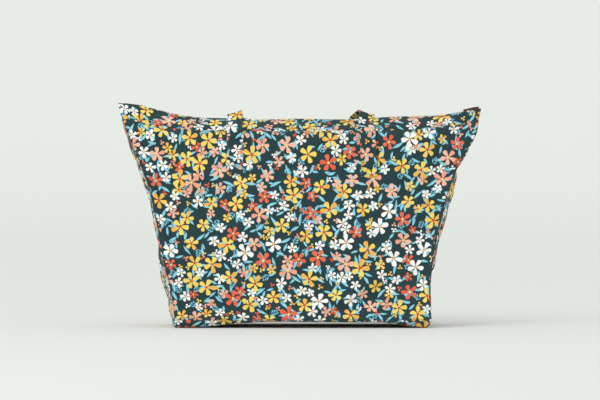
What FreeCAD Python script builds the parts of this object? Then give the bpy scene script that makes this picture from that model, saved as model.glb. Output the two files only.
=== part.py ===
import FreeCAD, Part
import math
import os

import Sketcher
from FreeCAD import Placement, Rotation, Vector

# A foldable travel tote: a boxy cloth bag, wide at the top, closed along its ridge by a zip.
# X runs along the bag, Y from its front to its back, Z up. The origin is the middle of the
# base, on the floor. Millimetres throughout.

SIZES = {
    # the cloth shell
    "cloth": 1.0,
    "base_half_length": 200.0,
    "base_half_depth": 90.0,
    "base_room": 0.3,
    "fold_half_length": 190.0,
    "fold_half_depth": 35.0,
    "fold_height": 301.0,
    "wing_reach": 278.0,
    "wing_height": 343.0,
    "wing_half_gap": 0.5,
    # the top bands, which slope from the fold line up to the zip
    "flap_half_length": 150.0,
    "ridge_half_length": 235.0,
    "ridge_half_gap": 7.0,
    "ridge_height": 316.5,
    "flap_clearance": 0.4,
    # the zip
    "tape_thickness": 0.8,
    "coil_inner": 0.6,
    "coil_width": 2.6,
    "coil_height": 1.7,
    "zip_clearance": 0.3,
    "slider_rest": 212.0,
    "slider_length": 14.0,
    "slider_width": 9.0,
    "slider_plate": 1.2,
    "pull_length": 26.0,
    "pull_width": 5.0,
    "pull_tilt": 8.0,
    "stop_length": 3.0,
    "stop_height": 1.0,
    "tab_start": 246.0,
    "tab_length": 30.0,
    "tab_width": 8.0,
    "tab_thickness": 3.0,
    "tab_clearance": 2.2,
    # the handles
    "strap_width": 25.0,
    "strap_thickness": 2.5,
    "strap_offset": 101.0,
    "strap_leg": 74.0,
    "strap_leg_bottom": 226.0,
    "front_loop_radius": 72.0,
    "front_loop_leg": 88.0,
    "back_loop_radius": 103.0,
    "back_loop_leg": 136.0,
    "strap_bend_gap": 1.2,
    # the seam bindings
    "binding_width": 9.0,
    "binding_thickness": 1.4,
    "binding_inset": 4.0,
    "binding_corner_room": 2.0,
    "seam_allowance": 0.8,
    # the zipped pocket that the folded bag goes into
    "pocket_half_length": 90.0,
    "pocket_depth": 10.0,
    "pocket_bottom": 146.0,
    "pocket_top": 294.0,
    "pocket_front": 22.0,
    "pocket_zip_height": 287.6,
    "pocket_zip_half_length": 85.0,
    "pocket_slider_rest": 70.0,
    "pocket_tape_width": 6.0,
    "pocket_tape_gap": 0.2,
    "pocket_slot_height": 20.0,
    # the blank care label
    "label_length": 20.0,
    "label_height": 45.0,
    "label_thickness": 0.4,
    "label_left": -176.0,
    "label_front": -68.0,
    "label_bottom": 60.0,
}

# the hinge lines of the strap folds, as (y, z)
FRONT_ROOT = (-37.0, 303.0)
RIDGE_BEND = (-4.0, 326.0)
BACK_BEND = (41.3, 304.5)
BACK_HANDLE_HINGE = (41.3, 302.5)

doc = FreeCAD.newDocument("foldable_tote_bag")
sheet = doc.addObject("Spreadsheet::Sheet", "sizes")
for row, (alias, number) in enumerate(SIZES.items(), start=1):
    sheet.set(f"A{row}", alias)
    sheet.set(f"B{row}", str(number))
    sheet.setAlias(f"B{row}", alias)
doc.recompute()

sub_parts = []


def size(alias):
    """A driving dimension, read from the sheet."""
    return float(sheet.get(alias))


def keep(item, label):
    """Names an object as one of the bag's sub-parts."""
    item.Label = label
    sub_parts.append(item)
    return item


def bind(item, **expressions):
    """Binds an object's properties to expressions in the sheet's cells."""
    for name, expression in expressions.items():
        item.setExpression(name, expression)


def slab(name, length, width, height, place):
    """A box whose three sides are bound to the sheet, at a placement."""
    item = doc.addObject("Part::Box", name)
    bind(item, Length=length, Width=width, Height=height)
    item.Placement = place
    return item


def at(x, y, z, tilt=0.0):
    """A placement at a point, turned about X so that local Y climbs by tilt degrees."""
    return Placement(Vector(x, y, z), Rotation(Vector(1, 0, 0), tilt))


def fused(label, pieces):
    """A sub-part that joins several objects. Pieces that don't touch stay separate solids."""
    item = doc.addObject("Part::MultiFuse", label)
    item.Shapes = pieces
    return keep(item, label)


def slope(start, end):
    """The angle in degrees of the line from one (y, z) point to another."""
    return math.degrees(math.atan2(end[1] - start[1], end[0] - start[0]))


def distance(start, end):
    return math.hypot(end[0] - start[0], end[1] - start[1])


# ---------------------------------------------------------------- sketches and pads

def origin_plane(body, role):
    for feature in body.Origin.OriginFeatures:
        if feature.Role == role:
            return feature
    raise ValueError(role)


def new_sketch(body, name, role="XY_Plane"):
    sketch = body.newObject("Sketcher::SketchObject", name)
    sketch.AttachmentSupport = [(origin_plane(body, role), "")]
    sketch.MapMode = "FlatFace"
    return sketch


def close_outline(sketch, points, cells):
    """Draws a closed polygon and ties the coordinates named in cells to the sheet."""
    count = len(points)
    for index in range(count):
        first = points[index]
        second = points[(index + 1) % count]
        line = Part.LineSegment(Vector(first[0], first[1], 0), Vector(second[0], second[1], 0))
        sketch.addGeometry(line, False)
    for index in range(count):
        after = (index + 1) % count
        sketch.addConstraint(Sketcher.Constraint("Coincident", index, 2, after, 1))
    for index, (x, y) in enumerate(points):
        for axis, number in (("X", x), ("Y", y)):
            rule = Sketcher.Constraint("Distance" + axis, -1, 1, index, 1, number)
            place = sketch.addConstraint(rule)
            sketch.renameConstraint(place, f"{axis.lower()}{index}")
            expression = cells.get(f"{axis.lower()}{index}")
            if expression:
                sketch.setExpression(f"Constraints.{axis.lower()}{index}", expression)


def padded_outline(label, points, cells, thickness, place, role="XY_Plane"):
    """A flat piece of cloth: a closed outline, padded by its thickness."""
    body = doc.addObject("PartDesign::Body", label)
    sketch = new_sketch(body, label + "_outline", role)
    close_outline(sketch, points, cells)
    pad = body.newObject("PartDesign::Pad", label + "_pad")
    pad.Profile = sketch
    pad.setExpression("Length", thickness)
    sketch.Visibility = False
    body.Placement = place
    return keep(body, label)


def padded_loop(label, radius, leg, place):
    """A strap bent into a U: two straight legs joined by a half circle, flat in its plane."""
    half = size("strap_width") / 2
    start = size("strap_bend_gap")
    middle = size(radius)
    end = size(leg)
    body = doc.addObject("PartDesign::Body", label)
    sketch = new_sketch(body, label + "_outline")
    outer = middle + half
    inner = middle - half
    corners = [(-outer, end), (-outer, start), (-inner, start), (-inner, end),
               (inner, end), (inner, start), (outer, start), (outer, end)]
    for first, second in ((0, 1), (1, 2), (2, 3), (4, 5), (5, 6), (6, 7)):
        a = Vector(corners[first][0], corners[first][1], 0)
        b = Vector(corners[second][0], corners[second][1], 0)
        sketch.addGeometry(Part.LineSegment(a, b), False)
    for ring in (inner, outer):
        circle = Part.Circle(Vector(0, end, 0), Vector(0, 0, 1), ring)
        sketch.addGeometry(Part.ArcOfCircle(circle, 0, math.pi), False)
    joins = [(0, 2, 1, 1), (1, 2, 2, 1), (3, 2, 4, 1), (4, 2, 5, 1),
             (2, 2, 6, 2), (3, 1, 6, 1), (0, 1, 7, 2), (5, 2, 7, 1)]
    for join in joins:
        sketch.addConstraint(Sketcher.Constraint("Coincident", *join))
    sketch.addConstraint(Sketcher.Constraint("Coincident", 6, 3, 7, 3))
    for line in (1, 4):
        sketch.addConstraint(Sketcher.Constraint("Horizontal", line))
    for line in (0, 2, 3, 5):
        sketch.addConstraint(Sketcher.Constraint("Vertical", line))
    sketch.addConstraint(Sketcher.Constraint("PointOnObject", 6, 3, -2))
    inner_rule = sketch.addConstraint(Sketcher.Constraint("Radius", 6, inner))
    outer_rule = sketch.addConstraint(Sketcher.Constraint("Radius", 7, outer))
    leg_rule = sketch.addConstraint(Sketcher.Constraint("DistanceY", -1, 1, 6, 3, end))
    for rule, expression in ((inner_rule, f"sizes.{radius} - sizes.strap_width / 2"),
                             (outer_rule, f"sizes.{radius} + sizes.strap_width / 2"),
                             (leg_rule, f"sizes.{leg}")):
        sketch.renameConstraint(rule, f"rule{rule}")
        sketch.setExpression(f"Constraints.rule{rule}", expression)
    pad = body.newObject("PartDesign::Pad", label + "_pad")
    pad.Profile = sketch
    pad.setExpression("Length", "sizes.strap_thickness")
    body.Placement = place
    return keep(body, label)


# ---------------------------------------------------------------- faceted cloth

def facet_cloth(label, facets, offset):
    """Cloth that folds along straight lines: flat facets, thickened along one direction."""
    shape = None
    for facet in facets:
        corners = [Vector(*corner) for corner in facet]
        face = Part.Face(Part.makePolygon(corners + corners[:1]))
        plate = face.extrude(Vector(*offset))
        shape = plate if shape is None else shape.fuse(plate)
    item = doc.addObject("Part::Feature", label)
    item.Shape = shape.removeSplitter()
    return keep(item, label)


BASE_X = size("base_half_length")
BASE_Y = size("base_half_depth")
FOLD_X = size("fold_half_length")
FOLD_Y = size("fold_half_depth")
FOLD_Z = size("fold_height")
WING_X = size("wing_reach")
WING_Z = size("wing_height")
WING_Y = size("wing_half_gap")
CLOTH = size("cloth")
FLAP_X = size("flap_half_length")
RIDGE_X = size("ridge_half_length")
RIDGE_Y = size("ridge_half_gap")
RIDGE_Z = size("ridge_height")
GAP = size("flap_clearance")
STRAP = size("strap_width")
STRAP_X = size("strap_offset")
STRAP_THICK = size("strap_thickness")
PANEL_SLOPE = slope((-BASE_Y, 0), (-FOLD_Y, FOLD_Z))
SIDES = (("left", -1), ("right", 1))
FACES = (("front", -1), ("back", 1))


def make_panels():
    """The base, the front and back panels, and the gussets that close the two ends."""
    length = BASE_X - CLOTH - size("base_room")
    depth = BASE_Y - size("base_room")
    corners = [(-length, -depth), (length, -depth), (length, depth), (-length, depth)]
    long_way = "sizes.base_half_length - sizes.cloth - sizes.base_room"
    deep_way = "sizes.base_half_depth - sizes.base_room"
    cells = {"x1": long_way, "x2": long_way, "y2": deep_way, "y3": deep_way,
             "x0": f"-({long_way})", "x3": f"-({long_way})",
             "y0": f"-({deep_way})", "y1": f"-({deep_way})"}
    padded_outline("base_panel", corners, cells, "sizes.cloth", Placement())

    for face, way in FACES:
        low_left = (-BASE_X, way * BASE_Y, 0)
        low_right = (BASE_X, way * BASE_Y, 0)
        fold_left = (-FOLD_X, way * FOLD_Y, FOLD_Z)
        fold_right = (FOLD_X, way * FOLD_Y, FOLD_Z)
        middle = (low_left, low_right, fold_right, fold_left)
        left = (low_left, fold_left, (-WING_X, way * WING_Y, WING_Z))
        right = (low_right, (WING_X, way * WING_Y, WING_Z), fold_right)
        facet_cloth(face + "_panel", (middle, left, right), (0, way * CLOTH, 0))

    lean = math.degrees(math.atan2(WING_X - BASE_X, WING_Z))
    height = math.hypot(WING_X - BASE_X, WING_Z)
    for side, way in SIDES:
        corners = [(-BASE_Y, 0), (BASE_Y, 0), (0, height)]
        cells = {"x0": "-sizes.base_half_depth", "x1": "sizes.base_half_depth",
                 "y2": "sqrt((sizes.wing_reach - sizes.base_half_length)^2 + sizes.wing_height^2)"}
        upright = Rotation(Vector(0, 1, 0), way * lean).multiply(
            Rotation(Vector(0, 0, 1), -90 * way).multiply(Rotation(Vector(1, 0, 0), 90)))
        place = Placement(Vector(way * BASE_X, 0, 0), upright)
        padded_outline(side + "_gusset", corners, cells, "sizes.cloth", place)


def make_top_bands():
    """The bands from the fold lines up to the zip. Their middles open, and their ends are sewn."""
    for face, way in FACES:
        outer = (FOLD_Y - GAP, FOLD_Z + GAP)
        inner = (RIDGE_Y, RIDGE_Z)
        lean = slope(inner, outer)
        run = distance(inner, outer)
        if way > 0:
            place = at(-FLAP_X + GAP, inner[0], inner[1], lean)
        else:
            place = at(-FLAP_X + GAP, -outer[0], outer[1], -lean)
        item = doc.addObject("Part::Box", face + "_top_band")
        bind(item, Length="2 * (sizes.flap_half_length - sizes.flap_clearance)", Height="sizes.cloth")
        item.Width = run
        item.Placement = place
        keep(item, face + "_top_band")
        for side, turn in SIDES:
            fold_start = (turn * FLAP_X, way * FOLD_Y, FOLD_Z)
            fold_end = (turn * FOLD_X, way * FOLD_Y, FOLD_Z)
            ridge_end = (turn * RIDGE_X, way * RIDGE_Y, RIDGE_Z)
            ridge_start = (turn * FLAP_X, way * RIDGE_Y, RIDGE_Z)
            tip = (turn * WING_X, way * WING_Y, WING_Z)
            sewn = (fold_start, fold_end, ridge_end, ridge_start)
            wing = (fold_end, tip, ridge_end)
            facet_cloth(f"{face}_top_band_{side}", (sewn, wing), (0, 0, CLOTH))


# ---------------------------------------------------------------- the main zip

TAPE = size("tape_thickness")
COIL_IN = size("coil_inner")
COIL_WIDE = size("coil_width")
COIL_TALL = size("coil_height")
ZIP_GAP = size("zip_clearance")
COIL_Z = RIDGE_Z + TAPE
COIL_TOP = COIL_Z + COIL_TALL


def zip_strip(name, length, start, way, kind):
    """One half of a stretch of zip: its tape, or the coil that is sewn along its edge."""
    if kind == "tape":
        low = COIL_IN if way > 0 else -RIDGE_Y
        wide = "sizes.ridge_half_gap - sizes.coil_inner"
        return slab(name, length, wide, "sizes.tape_thickness", at(start, low, RIDGE_Z))
    low = COIL_IN if way > 0 else -COIL_IN - COIL_WIDE
    return slab(name, length, "sizes.coil_width", "sizes.coil_height", at(start, low, COIL_Z))


def make_zip():
    """The tapes and coils along the ridge, with the stops, the end tabs, the slider and its pull."""
    middle = "2 * (sizes.flap_half_length - sizes.flap_clearance)"
    end = "sizes.ridge_half_length - sizes.flap_half_length"
    for kind in ("tape", "coil"):
        for face, way in FACES:
            name = f"{face}_zip_{kind}"
            keep(zip_strip(name, middle, -FLAP_X + GAP, way, kind), name)
        for side, turn in SIDES:
            start = FLAP_X if turn > 0 else -RIDGE_X
            halves = [zip_strip(f"{side}_{face}_{kind}", end, start, way, kind)
                      for face, way in FACES]
            fused(f"zip_{kind}_ends_{side}", halves)

    rest = size("slider_rest")
    stop_start = rest + size("slider_length") / 2 + size("stop_height")
    tops = [slab("top_stop_" + face, "sizes.stop_length", "sizes.coil_width", "sizes.stop_height",
                 at(stop_start, COIL_IN if way > 0 else -COIL_IN - COIL_WIDE, COIL_TOP))
            for face, way in FACES]
    fused("zip_top_stops", tops)
    bridge = slab("zip_bottom_stop", "sizes.stop_length",
                  "2 * (sizes.coil_inner + sizes.coil_width)", "sizes.stop_height",
                  at(-stop_start - size("stop_length"), -COIL_IN - COIL_WIDE, COIL_TOP))
    keep(bridge, "zip_bottom_stop")
    make_end_tabs()
    make_slider("zip_slider", "zip_pull", Placement(Vector(rest, 0, COIL_Z), Rotation()))


def make_end_tabs():
    """A short dark tab folded over each end of the zip, lying on the ridge of the wing."""
    first = size("tab_start")
    wide = size("tab_width")
    climb = math.degrees(math.atan2(WING_Z - RIDGE_Z, WING_X - RIDGE_X))
    rise = (first - RIDGE_X) * math.tan(math.radians(climb))
    height = RIDGE_Z + rise + size("tab_clearance")
    for side, way in SIDES:
        tab = slab(f"zip_end_tab_{side}", "sizes.tab_length", "sizes.tab_width",
                   "sizes.tab_thickness", Placement())
        turn = Rotation(Vector(0, 1, 0), -climb)
        if way < 0:
            turn = Rotation(Vector(0, 0, 1), 180).multiply(turn)
        tab.Placement = Placement(Vector(way * first, -way * wide / 2, height), turn)
        keep(tab, f"zip_end_tab_{side}")


def make_slider(slider_name, pull_name, place):
    """A slider that straddles both coils, and a pull that swings on its lug.

    Local X is the way along the zip, Y across it, and Z out of the tape, from the coil's foot.
    """
    long = size("slider_length")
    wide = size("slider_width")
    plate = size("slider_plate")
    roof = COIL_TALL + ZIP_GAP
    floor = -TAPE - ZIP_GAP - plate
    post = 0.3
    flange = COIL_IN + COIL_WIDE + 0.4
    wall = 0.9
    # the lug on the roof, with the bore that the pull's pin turns in
    lug_x = 4.0
    lug_z = roof + plate + 1.6
    lug_half = 1.5
    lug_half_width = 1.2
    hole = 0.78
    # the pull: two ears beside the lug, a blade that joins them, and the pin through the bore
    ear_in = 1.5
    ear_out = 2.5
    ear_back = 1.3
    ear_front = 4.0
    blade_start = 3.2
    half_thick = 0.6
    pin = 0.7

    def block(name, low, high, local=Placement()):
        item = doc.addObject("Part::Box", f"{slider_name}_{name}")
        item.Length = high[0] - low[0]
        item.Width = high[1] - low[1]
        item.Height = high[2] - low[2]
        item.Placement = place.multiply(local.multiply(Placement(Vector(*low), Rotation())))
        return item

    def rod(name, radius, half, x, z, local=Placement()):
        item = doc.addObject("Part::Cylinder", f"{slider_name}_{name}")
        item.Radius = radius
        item.Height = 2 * half
        across = Placement(Vector(x, half, z), Rotation(Vector(1, 0, 0), 90))
        item.Placement = place.multiply(local.multiply(across))
        return item

    top = block("roof", (-long / 2, -wide / 2, roof), (long / 2, wide / 2, roof + plate))
    bind(top, Length="sizes.slider_length", Width="sizes.slider_width", Height="sizes.slider_plate")
    base = block("floor", (-long / 2, -wide / 2, floor), (long / 2, wide / 2, floor + plate))
    bind(base, Length="sizes.slider_length", Width="sizes.slider_width", Height="sizes.slider_plate")
    wedge = block("post", (-long / 2 + 1, -post, floor + plate), (0, post, roof))
    walls = [block(f"flange_{number}", (-long / 2, low, ZIP_GAP), (long / 2, low + wall, roof))
             for number, low in enumerate((flange, -flange - wall))]
    lug = block("lug", (lug_x - lug_half, -lug_half_width, roof + plate),
                (lug_x + lug_half, lug_half_width, lug_z + lug_half))
    solid = doc.addObject("Part::MultiFuse", slider_name + "_solid")
    solid.Shapes = [top, base, wedge, lug] + walls
    bore = rod("bore", hole, ear_out, lug_x, lug_z)
    slider = doc.addObject("Part::Cut", slider_name)
    slider.Base = solid
    slider.Tool = bore
    keep(slider, slider_name)

    tilt = Placement(Vector(lug_x, 0, lug_z), Rotation(Vector(0, 1, 0), -size("pull_tilt")))
    reach = size("pull_length")
    half_wide = size("pull_width") / 2
    ears = [block(f"ear_{number}", (-ear_back, low, -half_thick),
                  (ear_front, low + ear_out - ear_in, half_thick), tilt)
            for number, low in enumerate((ear_in, -ear_out))]
    blade = block("blade", (blade_start, -half_wide, -half_thick), (reach, half_wide, half_thick), tilt)
    bind(blade, Width="sizes.pull_width", Length=f"sizes.pull_length - {blade_start}")
    cross = rod("pin", pin, ear_out - 0.1, 0, 0, tilt)
    fused(pull_name, ears + [blade, cross])


# ---------------------------------------------------------------- the handles

def strap_run(name, x, start, end, width="sizes.strap_width"):
    """A straight stretch of strap between two (y, z) fold lines, clear of both folds."""
    gap = size("strap_bend_gap")
    lean = slope(start, end)
    item = doc.addObject("Part::Box", name)
    bind(item, Length=width, Height="sizes.strap_thickness")
    item.Width = distance(start, end) - 2 * gap
    local = Placement(Vector(-STRAP / 2, gap, -STRAP_THICK / 2), Rotation())
    item.Placement = at(x, start[0], start[1], lean).multiply(local)
    return keep(item, name)


def make_handles():
    """The straps sewn to the panels, and the two free handles, both lying over the back."""
    bottom = size("strap_leg_bottom")
    leg = size("strap_leg")
    panel_y = BASE_Y + CLOTH - bottom / math.tan(math.radians(PANEL_SLOPE))
    top_z = bottom + leg * math.sin(math.radians(PANEL_SLOPE))
    top_y = panel_y - leg * math.cos(math.radians(PANEL_SLOPE))
    for side, way in SIDES:
        x = way * STRAP_X - STRAP / 2
        front = slab(f"front_strap_{side}", "sizes.strap_width", "sizes.strap_leg",
                     "sizes.strap_thickness", at(x, -panel_y, bottom, PANEL_SLOPE))
        keep(front, f"front_strap_{side}")
        back = slab(f"back_strap_{side}", "sizes.strap_width", "sizes.strap_leg",
                    "sizes.strap_thickness", at(x, top_y, top_z, -PANEL_SLOPE))
        keep(back, f"back_strap_{side}")
        strap_run(f"front_handle_root_{side}", way * STRAP_X, FRONT_ROOT, RIDGE_BEND)

    gap = size("strap_bend_gap")
    lean = slope(RIDGE_BEND, BACK_BEND)
    run = distance(RIDGE_BEND, BACK_BEND)
    shift = STRAP_X - size("front_loop_radius")
    for side, way in SIDES:
        near = way * (STRAP_X - shift * gap / run)
        far = way * (STRAP_X - shift * (run - gap) / run)
        corners = [(near - STRAP / 2, gap), (near + STRAP / 2, gap),
                   (far + STRAP / 2, run - gap), (far - STRAP / 2, run - gap)]
        place = at(0, RIDGE_BEND[0], RIDGE_BEND[1], lean)
        down = Placement(Vector(0, 0, -STRAP_THICK / 2), Rotation())
        cells = {"y0": "sizes.strap_bend_gap", "y1": "sizes.strap_bend_gap"}
        padded_outline(f"front_handle_neck_{side}", corners, cells, "sizes.strap_thickness",
                       place.multiply(down))

    down = Placement(Vector(0, 0, -STRAP_THICK / 2), Rotation())
    padded_loop("front_handle_loop", "front_loop_radius", "front_loop_leg",
                at(0, BACK_BEND[0], BACK_BEND[1], -PANEL_SLOPE).multiply(down))
    padded_loop("back_handle_loop", "back_loop_radius", "back_loop_leg",
                at(0, BACK_HANDLE_HINGE[0], BACK_HANDLE_HINGE[1], -PANEL_SLOPE).multiply(down))


# ---------------------------------------------------------------- inside the bag

def make_bindings():
    """The bound seams inside the bag: round the base, and up each edge of the gussets."""
    wide = size("binding_width")
    inset = size("binding_inset")
    corner = inset + wide + size("binding_corner_room")
    for face, way in FACES:
        low = BASE_Y - inset - wide if way > 0 else -BASE_Y + inset
        strip = slab(f"{face}_base_binding", f"2 * (sizes.base_half_length - {corner})",
                     "sizes.binding_width", "sizes.binding_thickness",
                     at(-(BASE_X - corner), low, CLOTH))
        keep(strip, f"{face}_base_binding")
    for side, way in SIDES:
        low = BASE_X - inset - wide if way > 0 else -BASE_X + inset
        strip = slab(f"{side}_base_binding", "sizes.binding_width",
                     "2 * (sizes.base_half_depth - sizes.binding_inset)", "sizes.binding_thickness",
                     at(low, -(BASE_Y - inset), CLOTH))
        keep(strip, f"{side}_base_binding")
    thick = size("binding_thickness")
    edge = size("seam_allowance")
    first_share = 0.03
    last_share = 0.88
    off_gusset = CLOTH + 0.05
    for side, way in SIDES:
        for face, turn in FACES:
            foot = Vector(way * BASE_X, turn * BASE_Y, 0)
            tip = Vector(way * WING_X, 0, WING_Z)
            inward = Vector(0, -turn, 0)
            along = tip - foot
            start = foot + along * first_share
            end = foot + along * last_share
            corners = [start + inward * edge, end + inward * edge,
                       end + inward * (edge + wide), start + inward * (edge + wide)]
            corners = [point + Vector(-way * off_gusset, 0, 0) for point in corners]
            facet_cloth(f"{face}_{side}_seam_binding", (corners,), (-way * thick, 0, 0))


def make_pocket():
    """A flat zipped pocket, hung inside from the back fold line. The bag folds away into it."""
    half = size("pocket_half_length")
    low = size("pocket_bottom")
    top = size("pocket_top")
    front = size("pocket_front")
    depth = size("pocket_depth")
    zip_z = size("pocket_zip_height")
    zip_half = size("pocket_zip_half_length")
    slot_low = zip_z - COIL_IN - size("pocket_tape_width")
    outer = slab("pocket_outer", "2 * sizes.pocket_half_length", "sizes.pocket_depth",
                 "sizes.pocket_top - sizes.pocket_bottom", at(-half, front, low))
    hollow = slab("pocket_hollow", "2 * (sizes.pocket_half_length - sizes.cloth)",
                  "sizes.pocket_depth - 2 * sizes.cloth",
                  "sizes.pocket_top - sizes.pocket_bottom",
                  at(-half + CLOTH, front + CLOTH, low + CLOTH))
    slot = slab("pocket_slot", "2 * sizes.pocket_zip_half_length", "2 * sizes.cloth",
                "sizes.pocket_slot_height", at(-zip_half, front - CLOTH / 2, slot_low))
    opened = doc.addObject("Part::Cut", "pocket_opened")
    opened.Base = outer
    opened.Tool = hollow
    pocket = doc.addObject("Part::Cut", "stow_pocket")
    pocket.Base = opened
    pocket.Tool = slot
    keep(pocket, "stow_pocket")

    inner_face = BASE_Y - (top + CLOTH) / math.tan(math.radians(PANEL_SLOPE))
    header = slab("pocket_header", "2 * sizes.pocket_half_length", str(inner_face - front),
                  "sizes.cloth", at(-half, front, top))
    keep(header, "pocket_header")

    long = "2 * sizes.pocket_zip_half_length"
    tape_y = front + size("pocket_tape_gap")
    lower = slab("pocket_tape_lower", long, "sizes.tape_thickness", "sizes.pocket_tape_width",
                 at(-zip_half, tape_y, slot_low))
    upper_width = "sizes.pocket_top - sizes.pocket_zip_height - sizes.coil_inner"
    upper = slab("pocket_tape_upper", long, "sizes.tape_thickness", upper_width,
                 at(-zip_half, tape_y, zip_z + COIL_IN))
    keep(lower, "pocket_tape_lower")
    keep(upper, "pocket_tape_upper")
    for name, z in (("pocket_coil_lower", zip_z - COIL_IN - COIL_WIDE),
                    ("pocket_coil_upper", zip_z + COIL_IN)):
        coil = slab(name, long, "sizes.coil_height", "sizes.coil_width",
                    at(-zip_half, tape_y - COIL_TALL, z))
        keep(coil, name)
    # The slider's local Z points out of the pocket, towards the front of the bag.
    facing = Placement(Vector(size("pocket_slider_rest"), tape_y, zip_z),
                       Rotation(Vector(1, 0, 0), 90))
    make_slider("pocket_slider", "pocket_pull", facing)


def make_label():
    """A blank care label, sewn into the left front seam and hanging inside."""
    place = at(size("label_left"), size("label_front"), size("label_bottom"))
    label = slab("care_label", "sizes.label_length", "sizes.label_thickness",
                 "sizes.label_height", place)
    keep(label, "care_label")


make_panels()
make_top_bands()
make_zip()
make_handles()
make_bindings()
make_pocket()
make_label()
doc.recompute()

for item in doc.Objects:
    if "Invalid" in item.State or "Error" in item.State:
        raise RuntimeError(f"{item.Name} failed: {item.State}")
for item in sub_parts:
    if item.Shape.isNull() or not item.Shape.isValid():
        raise RuntimeError(f"{item.Label} has no valid shape")
    if item.Shape.Volume <= 0 or not item.Shape.Solids:
        raise RuntimeError(f"{item.Label} is not a solid")

os.makedirs("parts", exist_ok=True)
for item in sub_parts:
    item.Shape.exportStep(f"parts/{item.Label}.step")
    box = item.Shape.BoundBox
    print(f"{item.Label:28s} x {box.XMin:8.1f} {box.XMax:8.1f}  y {box.YMin:7.1f} {box.YMax:7.1f}"
          f"  z {box.ZMin:7.1f} {box.ZMax:7.1f}  solids {len(item.Shape.Solids)}")
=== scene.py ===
import math

import bpy
import numpy as np
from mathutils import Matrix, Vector, noise
from mathutils.bvhtree import BVHTree


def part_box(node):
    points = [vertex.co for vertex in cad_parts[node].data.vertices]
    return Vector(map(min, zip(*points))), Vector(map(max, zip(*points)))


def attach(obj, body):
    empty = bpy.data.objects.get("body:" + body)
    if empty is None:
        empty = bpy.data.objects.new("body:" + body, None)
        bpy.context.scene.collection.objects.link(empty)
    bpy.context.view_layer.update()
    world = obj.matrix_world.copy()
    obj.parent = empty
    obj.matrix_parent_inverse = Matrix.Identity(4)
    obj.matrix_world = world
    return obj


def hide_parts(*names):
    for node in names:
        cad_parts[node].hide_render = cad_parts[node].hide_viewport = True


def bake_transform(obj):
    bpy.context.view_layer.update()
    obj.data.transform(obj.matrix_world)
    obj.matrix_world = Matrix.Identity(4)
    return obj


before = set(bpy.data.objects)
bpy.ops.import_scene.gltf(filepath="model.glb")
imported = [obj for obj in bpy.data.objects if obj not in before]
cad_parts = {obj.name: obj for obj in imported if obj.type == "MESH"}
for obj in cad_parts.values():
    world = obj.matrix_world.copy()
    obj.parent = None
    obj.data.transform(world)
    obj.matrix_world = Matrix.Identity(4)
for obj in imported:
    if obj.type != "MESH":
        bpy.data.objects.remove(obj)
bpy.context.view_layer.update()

# Lengths are in metres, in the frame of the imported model: X along the bag, Y to its back, Z up.
MM = 0.001
CLOTH = 0.7 * MM
STRAP_WIDTH = 25 * MM
STRAP_THICK = 1.9 * MM
UV_NAME = "cloth"

# The grid of each cloth patch: columns along the bag, rows up it, and columns across a gusset.
COLUMNS = 96
ROWS = 52
ACROSS = 26
BAND_ROWS = 8

FOLD_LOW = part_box("front_top_band")[0]
FOLD_Y = -FOLD_LOW.y
FOLD_Z = FOLD_LOW.z
STRAP_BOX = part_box("front_strap_right")
STRAP_X = (STRAP_BOX[0].x + STRAP_BOX[1].x) / 2
BASE_HALF_DEPTH = 90 * MM
PANEL_LEAN = math.atan2(FOLD_Z, BASE_HALF_DEPTH - FOLD_Y)

# Which way each face and side of the bag lies from its middle.
WAY = {"front": -1, "back": 1}
SIDES = {"left": -1, "right": 1}


# ---------------------------------------------------------------- camera, light and stage

CAMERA_DISTANCE = 7.0
CAMERA_RISE = math.radians(0.8)
CAMERA_TARGET = Vector((-0.001, 0, 0.1945))
VIEW_WIDTH = 0.927
SENSOR = 36
FLOOR_DEPTH = 9.0
FLOOR_HALF_WIDTH = 14.0
SWEEP_RADIUS = 2.5
SWEEP_STEPS = 12


def link(name, data, material=None):
    """Adds an object to the scene, with its material."""
    if material:
        data.materials.append(material)
    item = bpy.data.objects.new(name, data)
    bpy.context.scene.collection.objects.link(item)
    return item


def aim(item, place, target):
    """Puts an object in its place and turns it to face a target."""
    item.location = place
    item.rotation_euler = (Vector(target) - item.location).to_track_quat("-Z", "Y").to_euler()


def make_camera():
    data = bpy.data.cameras.new("camera")
    camera = link("camera", data)
    way = Vector((0, -math.cos(CAMERA_RISE), math.sin(CAMERA_RISE)))
    aim(camera, CAMERA_TARGET + way * CAMERA_DISTANCE, CAMERA_TARGET)
    data.sensor_width = SENSOR
    data.lens = SENSOR * CAMERA_DISTANCE / VIEW_WIDTH
    data.clip_end = 50
    scene = bpy.context.scene
    scene.camera = camera
    scene.view_settings.view_transform = "Standard"


def lamp(name, kind, place, target, energy, **settings):
    data = bpy.data.lights.new(name, kind)
    data.energy = energy
    for key, value in settings.items():
        setattr(data, key, value)
    aim(link(name, data), place, target)


def set_inputs(node, values):
    for name, value in values.items():
        node.inputs[name].default_value = value


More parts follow.
